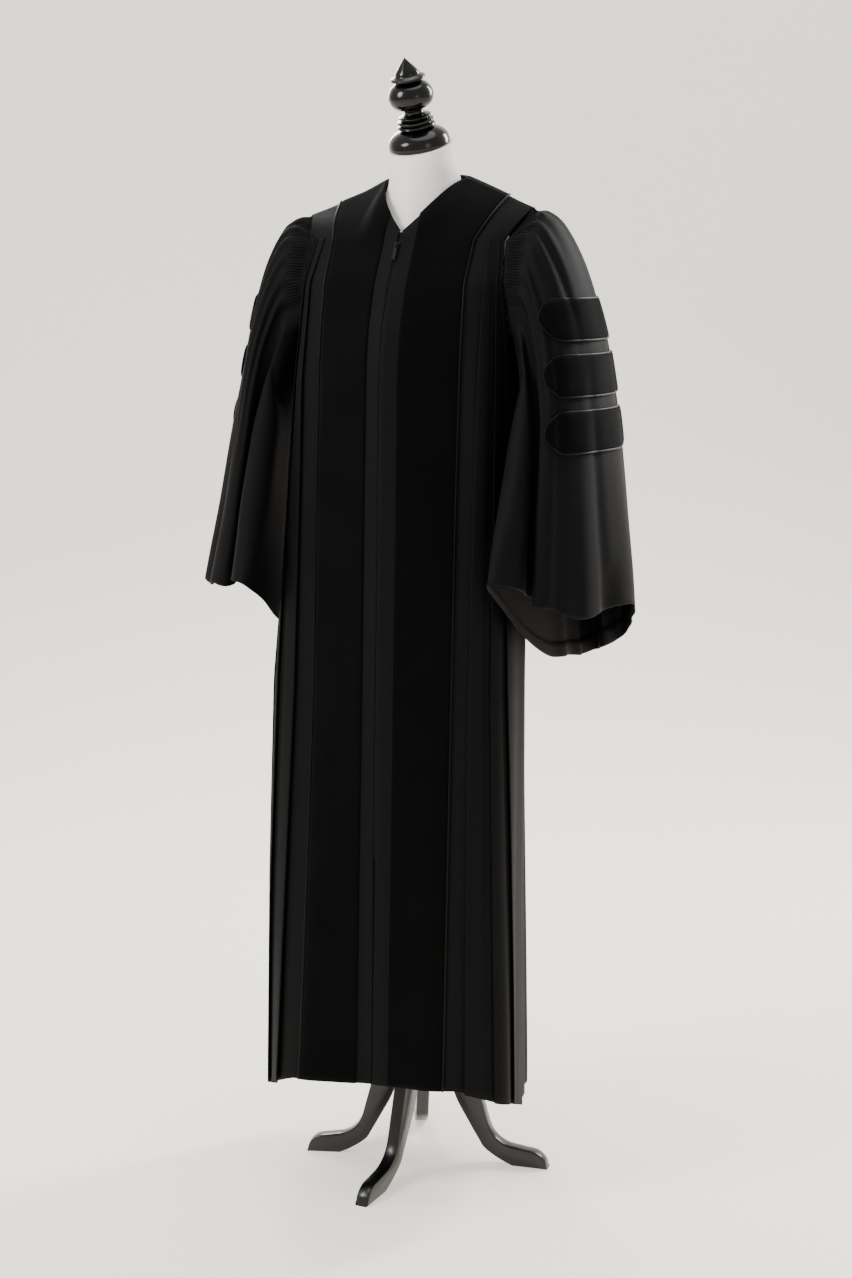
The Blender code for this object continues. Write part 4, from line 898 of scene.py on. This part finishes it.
def sleeve_points(side):
    """Closed sections from the armhole to the hem, the place of each column and how far down each row is."""
    last = len(SLEEVE_RINGS)
    places = np.array([fold[1] for fold in SLEEVE_FOLDS], float)
    around = np.append(places, 360.0)
    turns = np.concatenate([np.linspace(a, b, ROUND_STEPS, endpoint=False)
                            for a, b in zip(around, around[1:])])
    out, front, lift = (np.array([fold[k] for fold in SLEEVE_FOLDS], float) for k in (2, 3, 4))
    front = np.where(front > 0, front * SLEEVE_REACH[side], front)
    lift = np.where(lift > 0, lift * SLEEVE_RISE[side], lift)
    controls = [armhole(turns) + np.array([1.2, 0, 0])]
    for ring, (outer_x, outer_z, inner_x, inner_z, front_y, back_y) in enumerate(SLEEVE_RINGS, 1):
        blend = (ring / last) ** 0.55
        angle = np.radians(places)
        u = np.cos(angle) * (1 - blend) + out * blend
        v = np.sin(angle) * (1 - blend) + front * blend
        x = (outer_x + inner_x) / 2 + (outer_x - inner_x) / 2 * u
        z = (outer_z + inner_z) / 2 + (outer_z - inner_z) / 2 * u + lift * (ring / last) ** 1.6
        y = (front_y + back_y) / 2 - (back_y - front_y) / 2 * v
        controls.append(closed_smooth(np.stack([x, y, z], 1), ROUND_STEPS))
    controls = np.array(controls)
    rows, cols = controls.shape[:2]
    grid = smooth_run(controls.reshape(rows, -1), LONG_STEPS).reshape(-1, cols, 3)
    down = np.linspace(0, 1, len(grid))
    bow = SLEEVE_BOW[side] * np.sin(math.pi * down)[:, None] * ((grid[:, :, 0] - 205) / 60).clip(0, 1)
    grid[:, :, 0] = grid[:, :, 0] * side + bow
    grid += np.array(SLEEVE_SHIFT[side], float) * down[:, None, None]
    return settled(grid), turns, down


def sleeve_normals(grid, side):
    return grid_normals(grid[::-1], True)[::-1] * -side


def creased(grid, side, turns, down):
    """Moves the sleeve in and out along the creases of its table."""
    normal = sleeve_normals(grid, side)
    total = np.zeros(grid.shape[:2])
    for _, top, bottom, start, end, width, depth in CREASES[side]:
        middle = top + (bottom - top) * down
        away = (turns[None] - middle[:, None] + 180) % 360 - 180
        along = ((down - start) / max(end - start, 1e-6)).clip(0, 1)
        fade = np.sin(math.pi * along ** 0.6) if end < 1 else np.sin(math.pi / 2 * along)
        if start == 0:
            fade = np.where(along < 0.3, np.maximum(fade, 0.75 - along), fade)
        fade = fade * ((down >= start) & (down <= end)) * np.minimum(1, down / 0.02)
        total += depth * fade[:, None] * np.exp(-(away / width) ** 2)
    return grid + normal * total[:, :, None]


def turned_hem(grid, normal):
    """Rows that carry the hem over its edge and back up inside the sleeve."""
    rows = [grid[-1] - normal[-1] * 0.9 + np.array([0, 0, -0.7])]
    for back, depth in ((1, 2.0), (2, 2.3), (4, 2.4), (6, 2.4)):
        rows.append(grid[-back] - normal[-back] * depth)
    return rows


sleeve_grids = {}
for side, word in SIDES.items():
    grid, turns, down = sleeve_points(side)
    grid = creased(grid, side, turns, down)
    sleeve_grids[side] = grid
    normal = sleeve_normals(grid, side)
    full = np.array(list(grid) + turned_hem(grid, normal))[::-1]
    chart = chart_of(full)
    shell(f"sleeve_{word}", full, chart, gown_cloth, SLEEVE_WALL,
                          closed=True, side=-side)

# ---- Shirring: corded ribs where the sleeve head is gathered ----
def grown(name, carrier, build, material, seed=None):
    """Object that Geometry Nodes make out of a carrier mesh; the result is kept as plain mesh.

    build takes the tree and what its input node gives, and returns the socket of the new geometry.
    """
    obj = bpy.data.objects.new(name, carrier)
    bpy.context.scene.collection.objects.link(obj)
    tree = bpy.data.node_groups.new(name, "GeometryNodeTree")
    new_socket = tree.interface.new_socket
    new_socket("Geometry", in_out="INPUT", socket_type="NodeSocketGeometry")
    new_socket("Geometry", in_out="OUTPUT", socket_type="NodeSocketGeometry")
    piece = new_socket("Piece", in_out="INPUT", socket_type="NodeSocketObject")
    finish = new_socket("Finish", in_out="INPUT", socket_type="NodeSocketMaterial")
    source = add_node(tree, "NodeGroupInput").outputs
    real = add_node(tree, "GeometryNodeRealizeInstances", {"Geometry": build(tree, source)})
    paint = add_node(tree, "GeometryNodeSetMaterial", {"Geometry": real.outputs["Geometry"],
                                                       "Material": source["Finish"]})
    add_node(tree, "NodeGroupOutput", {"Geometry": paint.outputs["Geometry"]})
    modifier = obj.modifiers.new("grow", "NODES")
    modifier.node_group = tree
    if seed:
        modifier[piece.identifier] = seed
    modifier[finish.identifier] = material
    bpy.context.view_layer.update()
    mesh = bpy.data.meshes.new_from_object(obj.evaluated_get(bpy.context.evaluated_depsgraph_get()))
    obj.modifiers.clear()
    obj.data = mesh
    mesh.shade_smooth()
    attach(obj, BODY)
    return obj


def corded(name, paths, radii, material):
    """Thin cords along the paths; radii in mm for each point."""
    carrier = bpy.data.meshes.new(name)
    points, edges = [], []
    for path in paths:
        edges += [(len(points) + k, len(points) + k + 1) for k in range(len(path) - 1)]
        points += [tuple((np.array(p) + SHIFT) * MM) for p in path]
    carrier.from_pydata(points, edges, [])
    layer = carrier.attributes.new("thick", "FLOAT", "POINT")
    layer.data.foreach_set("value", np.concatenate(radii).astype(np.float32) * MM)

    def build(tree, source):
        line = add_node(tree, "GeometryNodeMeshToCurve", {"Mesh": source["Geometry"]})
        thick = add_node(tree, "GeometryNodeInputNamedAttribute", {"Name": "thick"})
        width = add_node(tree, "GeometryNodeSetCurveRadius", {"Curve": line.outputs["Curve"],
                                                              "Radius": thick.outputs["Attribute"]})
        circle = add_node(tree, "GeometryNodeCurvePrimitiveCircle", {"Resolution": 8, "Radius": 1.0})
        tube = add_node(tree, "GeometryNodeCurveToMesh", {
            "Curve": width.outputs["Curve"], "Profile Curve": circle.outputs["Curve"], "Fill Caps": True})
        if "Scale" in tube.inputs:
            tree.links.new(thick.outputs["Attribute"], tube.inputs["Scale"])
        return tube.outputs["Mesh"]

    return grown(name, carrier, build, material)


def repeated(name, seed_mesh, places, turns, scales, material):
    """Copies of a small mesh, one at each place."""
    carrier = bpy.data.meshes.new(name)
    carrier.from_pydata([tuple((np.array(p) + SHIFT) * MM) for p in places], [], [])
    for label, values in (("turn", turns), ("size", scales)):
        layer = carrier.attributes.new(label, "FLOAT_VECTOR", "POINT")
        layer.data.foreach_set("vector", np.asarray(values, np.float32).ravel())
    seed = bpy.data.objects.new(name + "_seed", seed_mesh)
    bpy.context.scene.collection.objects.link(seed)

    def build(tree, source):
        info = add_node(tree, "GeometryNodeObjectInfo", {"Object": source["Piece"]})
        turn, size = (add_node(tree, "GeometryNodeInputNamedAttribute", {"Name": label},
                               data_type="FLOAT_VECTOR") for label in ("turn", "size"))
        rotate = add_node(tree, "FunctionNodeEulerToRotation", {"Euler": turn.outputs["Attribute"]})
        copies = add_node(tree, "GeometryNodeInstanceOnPoints", {
            "Points": source["Geometry"], "Instance": info.outputs["Geometry"],
            "Rotation": rotate.outputs["Rotation"], "Scale": size.outputs["Attribute"]})
        return copies.outputs["Instances"]

    obj = grown(name, carrier, build, material, seed)
    bpy.data.objects.remove(seed)
    return obj


def facing_frame(ahead, out):
    """Euler turn whose x runs ahead and whose z points out."""
    ahead = Vector(ahead).normalized()
    out = Vector(out)
    out = (out - ahead * out.dot(ahead)).normalized()
    return tuple(Matrix((ahead, out.cross(ahead), out)).transposed().to_euler())


RIB_PITCH = 4.2
for side, word in SIDES.items():
    grid = sleeve_grids[side]
    cols = grid.shape[1]
    normal = sleeve_normals(grid, side)
    girth = run_of(np.vstack([grid[1], grid[1][:1]]))
    paths, radii = [], []
    for n, mark in enumerate(np.arange(-150, 165, RIB_PITCH)):
        column = float(np.interp(mark % girth[-1], girth, np.arange(cols + 1)))
        forward = 1 if mark > 0 else -1
        length = 25 + 4 * math.sin(n * 2.1) + 2 * math.sin(n * 0.7)
        path, travelled, row = [], 0.0, 1.0
        while travelled < length and row < 30:
            r, c = int(row), int(column) % cols
            t = column - int(column)
            point = grid[r, c] * (1 - t) + grid[r, (c + 1) % cols] * t
            point = point + (grid[r + 1, c] - grid[r, c]) * (row - r)
            path.append(point - normal[r, c] * 0.2)
            if len(path) > 1:
                travelled += float(np.linalg.norm(path[-1] - path[-2]))
            row += 1.0
            column += forward * 0.5
        share = np.linspace(0, 1, len(path))
        paths.append(path)
        radii.append(2.1 * np.sin(math.pi * (0.14 + 0.84 * share)) ** 0.7)
    corded(f"shirring_{word}", paths, radii, gown_cloth)

# ---- Velvet bars: three on each sleeve, piped all round ----
BAR_WALL = 1.2
BAR_HEIGHT = 54.0
BAR_PITCH = 77.0
BAR_TOP_Z = 1296.0     # middle of the highest bar
BAR_POINT = 34.0       # length of a bar's rounded point
BAR_PIPING_RADIUS = 1.5
BAR_FRONT = {LEFT: (124.0, 140.0, 153.0), RIGHT: (62.0, 60.0, 58.0)}
BAR_BACK = {LEFT: (112.0, 98.0, 92.0), RIGHT: (128.0, 140.0, 148.0)}


class SleeveChart:
    """Places on a sleeve: along its girth from the outer line, forwards positive, and height."""

    def __init__(self, side, low, high):
        grid = sleeve_grids[side]
        cols = grid.shape[1]
        order = np.arange(-cols * 9 // 20, cols * 9 // 20)
        self.heights = np.arange(low, high, 3.0)
        rows = []
        for c in order:
            column = grid[::-1, c % cols]
            rise = np.maximum.accumulate(column[:, 2] + np.arange(len(column)) * 1e-5)
            rows.append([[float(np.interp(z, rise, column[:, k])) for k in range(3)] for z in self.heights])
        self.points = np.array(rows).transpose(1, 0, 2)
        middle = self.points[len(self.points) // 2]
        run = run_of(middle)
        self.along = run - run[len(order) // 2]
        normal = np.cross(np.gradient(self.points, axis=0), np.gradient(self.points, axis=1)) * side
        self.normal = normal / np.maximum(np.linalg.norm(normal, axis=2, keepdims=True), 1e-9)

    def read(self, table, along, z):
        c = np.interp(along, self.along, np.arange(len(self.along)))
        r = np.interp(z, self.heights, np.arange(len(self.heights)))
        c0, r0 = int(min(c, table.shape[1] - 2)), int(min(r, table.shape[0] - 2))
        a, b = c - c0, r - r0
        return ((table[r0, c0] * (1 - a) + table[r0, c0 + 1] * a) * (1 - b)
                + (table[r0 + 1, c0] * (1 - a) + table[r0 + 1, c0 + 1] * a) * b)

    def at(self, along, z, height):
        return self.read(self.points, along, z) + self.read(self.normal, along, z) * height


def bar_half_height(along, front_tip, back_tip):
    room = min(front_tip - along, along + back_tip)
    part = min(max(room / BAR_POINT, 0.0), 1.0)
    return BAR_HEIGHT / 2 * max(math.sqrt(1 - (1 - part) ** 2.0), 0.0) ** 1.15


for side, word in SIDES.items():
    for number in range(3):
        middle = BAR_TOP_Z - BAR_PITCH * number + SLEEVE_SHIFT[side][2] * (0.25 + 0.2 * number)
        chart = SleeveChart(side, middle - 45, middle + 48)
        front_tip, back_tip = BAR_FRONT[side][number], BAR_BACK[side][number]
        ends = [0.4, 1.2, 2.5, 4.5, 7, 10, 14, 18, 23, 28, 34]
        marks = [front_tip - d for d in ends] + list(np.linspace(front_tip - 38, 38 - back_tip, 36))
        marks += [d - back_tip for d in ends[::-1]]
        rows = []
        for share in np.array([-1, -0.93, -0.6, -0.2, 0.2, 0.6, 0.93, 1]):
            height = 2.3 if abs(share) < 1 else 1.5
            rows.append([chart.at(m, middle + share * bar_half_height(m, front_tip, back_tip), height)
                         for m in marks])
        grid = np.array(rows)
        shell(f"bar_{word}_{number + 1}", grid, chart_of(grid), velvet, BAR_WALL,
                                   side=-side)
        reach = BAR_PIPING_RADIUS + 0.1
        outline = [(front_tip, 0.0)] + [(m, bar_half_height(m, front_tip, back_tip)) for m in marks]
        outline += [(-back_tip, 0.0)] + [(m, -bar_half_height(m, front_tip, back_tip)) for m in marks[::-1]]
        path = []
        for i, (a, h) in enumerate(outline):
            before, after = outline[i - 1], outline[(i + 1) % len(outline)]
            run = Vector((after[0] - before[0], after[1] - before[1])).normalized()
            path.append(chart.at(a + run.y * reach, middle + h - run.x * reach, BAR_PIPING_RADIUS + 0.3))
        cord_object(f"bar_piping_{word}_{number + 1}", path, BAR_PIPING_RADIUS, sides=8, closed=True)

# ---- Zip: covered tape and small enamelled teeth; the slider and its pull stay as they are ----
ZIP_TOP_Z = 1398.0
ZIP_END_Z = 520.0
TOOTH_PITCH = 1.6
TAPE_WALL = 0.6
enamel, shader = new_material("black enamelled metal", "161616", 0.3, Metallic=0.7)
tape_rows = []
for z in list(np.arange(ZIP_END_Z, ZIP_TOP_Z, 12)) + [1404.0, 1412.0, 1417.0]:
    y = at_level(LEFT, "front_y", z) + max(z - YOKE_Z, 0) * 0.93
    tape_rows.append([(x, y + 2.2, z) for x in (-6.0, -2.0, 2.0, 6.0)])
grid = np.array(tape_rows)
tape = shell("zip_chain", grid, chart_of(grid), gown_cloth, TAPE_WALL, name="zip_tape_shown")
tooth = bpy.data.meshes.new("tooth")
tooth.from_pydata([(x, y, z) for z in (0, 1) for y in (-1, 1) for x in (-1, 1)], [],
                  [(0, 2, 3, 1), (4, 5, 7, 6), (0, 1, 5, 4), (1, 3, 7, 5), (3, 2, 6, 7), (2, 0, 4, 6)])
teeth_places, teeth_turns, teeth_sizes = [], [], []
for n, z in enumerate(np.arange(ZIP_END_Z + 2, ZIP_TOP_Z - 6, TOOTH_PITCH)):
    y = at_level(LEFT, "front_y", z)
    slope = at_level(LEFT, "front_y", z + 4) - at_level(LEFT, "front_y", z - 4)
    teeth_places.append((0.55 if n % 2 else -0.55, y + 2.0, z))
    teeth_turns.append(facing_frame((1, 0, 0), (0, -8, slope)))
    teeth_sizes.append(np.array([1.0, 0.5, 1.0]) * MM)
repeated("zip_teeth", tooth, teeth_places, teeth_turns, teeth_sizes, enamel)
for zip_node in ("zip_slider", "zip_pull"):
    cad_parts[zip_node].data.materials.clear()
    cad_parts[zip_node].data.materials.append(enamel)

# ---- Floor, light and camera ----
paper, shader = new_material("pale studio paper", "E7E3DC", 0.95, Specular_IOR_Level=0.1,
                             Emission_Strength=0.98)
shader.inputs["Emission Color"].default_value = linear("EAE4DB")
facing = add_node(paper, "ShaderNodeNewGeometry")
clear = add_node(paper, "ShaderNodeBsdfTransparent")
one_sided = add_node(paper, "ShaderNodeMixShader", {
    0: facing.outputs["Backfacing"], 1: shader.outputs["BSDF"], 2: clear.outputs["BSDF"]})
paper.node_tree.links.new(one_sided.outputs["Shader"],
                          paper.node_tree.nodes["Material Output"].inputs["Surface"])
# Run along the view and height, in metres: level floor, a quarter round, upright wall.
BEND_START, BEND_RADIUS = 2.0, 3.2
sweep = [(-6.0, 0.0), (-2.0, 0.0), (0.0, 0.0), (1.5, 0.0)]
sweep += [(BEND_START + BEND_RADIUS * math.sin(a), BEND_RADIUS - BEND_RADIUS * math.cos(a))
          for a in np.radians(np.arange(0, 91, 3))]
sweep += [(5.2, 4.5), (5.2, 7.0)]
camera_turn = math.radians(22)
along_view = np.array([-math.sin(camera_turn), math.cos(camera_turn)])
across_view = np.array([math.cos(camera_turn), math.sin(camera_turn)])
points, faces = [], []
for run, height in sweep:
    for across in (-7.0, 7.0):
        points.append((*(along_view * run + across_view * across), height))
for r in range(len(sweep) - 1):
    faces.append((2 * r, 2 * r + 1, 2 * r + 3, 2 * r + 2))
backdrop_mesh = bpy.data.meshes.new("backdrop")
backdrop_mesh.from_pydata(points, [], faces)
backdrop_mesh.shade_smooth()
backdrop_mesh.materials.append(paper)
backdrop = bpy.data.objects.new("backdrop", backdrop_mesh)
bpy.context.scene.collection.objects.link(backdrop)

world = bpy.data.worlds.new("studio")
bpy.context.scene.world = world
world.use_nodes = True
world.node_tree.nodes["Background"].inputs["Color"].default_value = linear("E8E5E0")
world.node_tree.nodes["Background"].inputs["Strength"].default_value = 1.0


def softbox(name, azimuth, elevation, distance, size, power, colour="FFFFFF", aim=(0, 0, 0.9)):
    """Area light round the object; azimuth 0 is in front and 90 to the figure's left."""
    light = bpy.data.lights.new(name, "AREA")
    light.shape = "ELLIPSE"
    light.size, light.size_y = size
    light.energy = power
    light.color = linear(colour)[:3]
    obj = bpy.data.objects.new(name, light)
    a, e = math.radians(azimuth), math.radians(elevation)
    out = Vector((math.sin(a) * math.cos(e), -math.cos(a) * math.cos(e), math.sin(e)))
    obj.location = Vector(aim) + out * distance
    obj.rotation_euler = (-out).to_track_quat("-Z", "Y").to_euler()
    bpy.context.scene.collection.objects.link(obj)


softbox("key", -40, 34, 3.2, (1.1, 1.5), 85)
softbox("fill", 50, 14, 3.8, (1.0, 1.6), 8)
softbox("rim", 146, 30, 3.0, (0.5, 2.0), 120)
softbox("back rim", -142, 32, 3.0, (0.7, 1.8), 55)
softbox("overhead", 10, 86, 3.0, (2.4, 2.4), 45)

CAMERA_DISTANCE = 3.30    # level distance from the figure, in metres
CAMERA_ASIDE = 0.0066     # to the camera's right
CAMERA_HEIGHT = 1.40
CAMERA_DOWN = 10.0246     # degrees below level
camera = bpy.data.cameras.new("camera")
camera.sensor_width = 36.0
camera.lens = 62.894
camera_object = bpy.data.objects.new("camera", camera)
bpy.context.scene.collection.objects.link(camera_object)
bpy.context.scene.camera = camera_object
centre = SHIFT * MM
camera_object.location = (
    math.sin(camera_turn) * CAMERA_DISTANCE + math.cos(camera_turn) * CAMERA_ASIDE + centre[0],
    -math.cos(camera_turn) * CAMERA_DISTANCE + math.sin(camera_turn) * CAMERA_ASIDE + centre[1],
    CAMERA_HEIGHT)
camera_object.rotation_euler = (math.radians(90 - CAMERA_DOWN), 0, camera_turn)
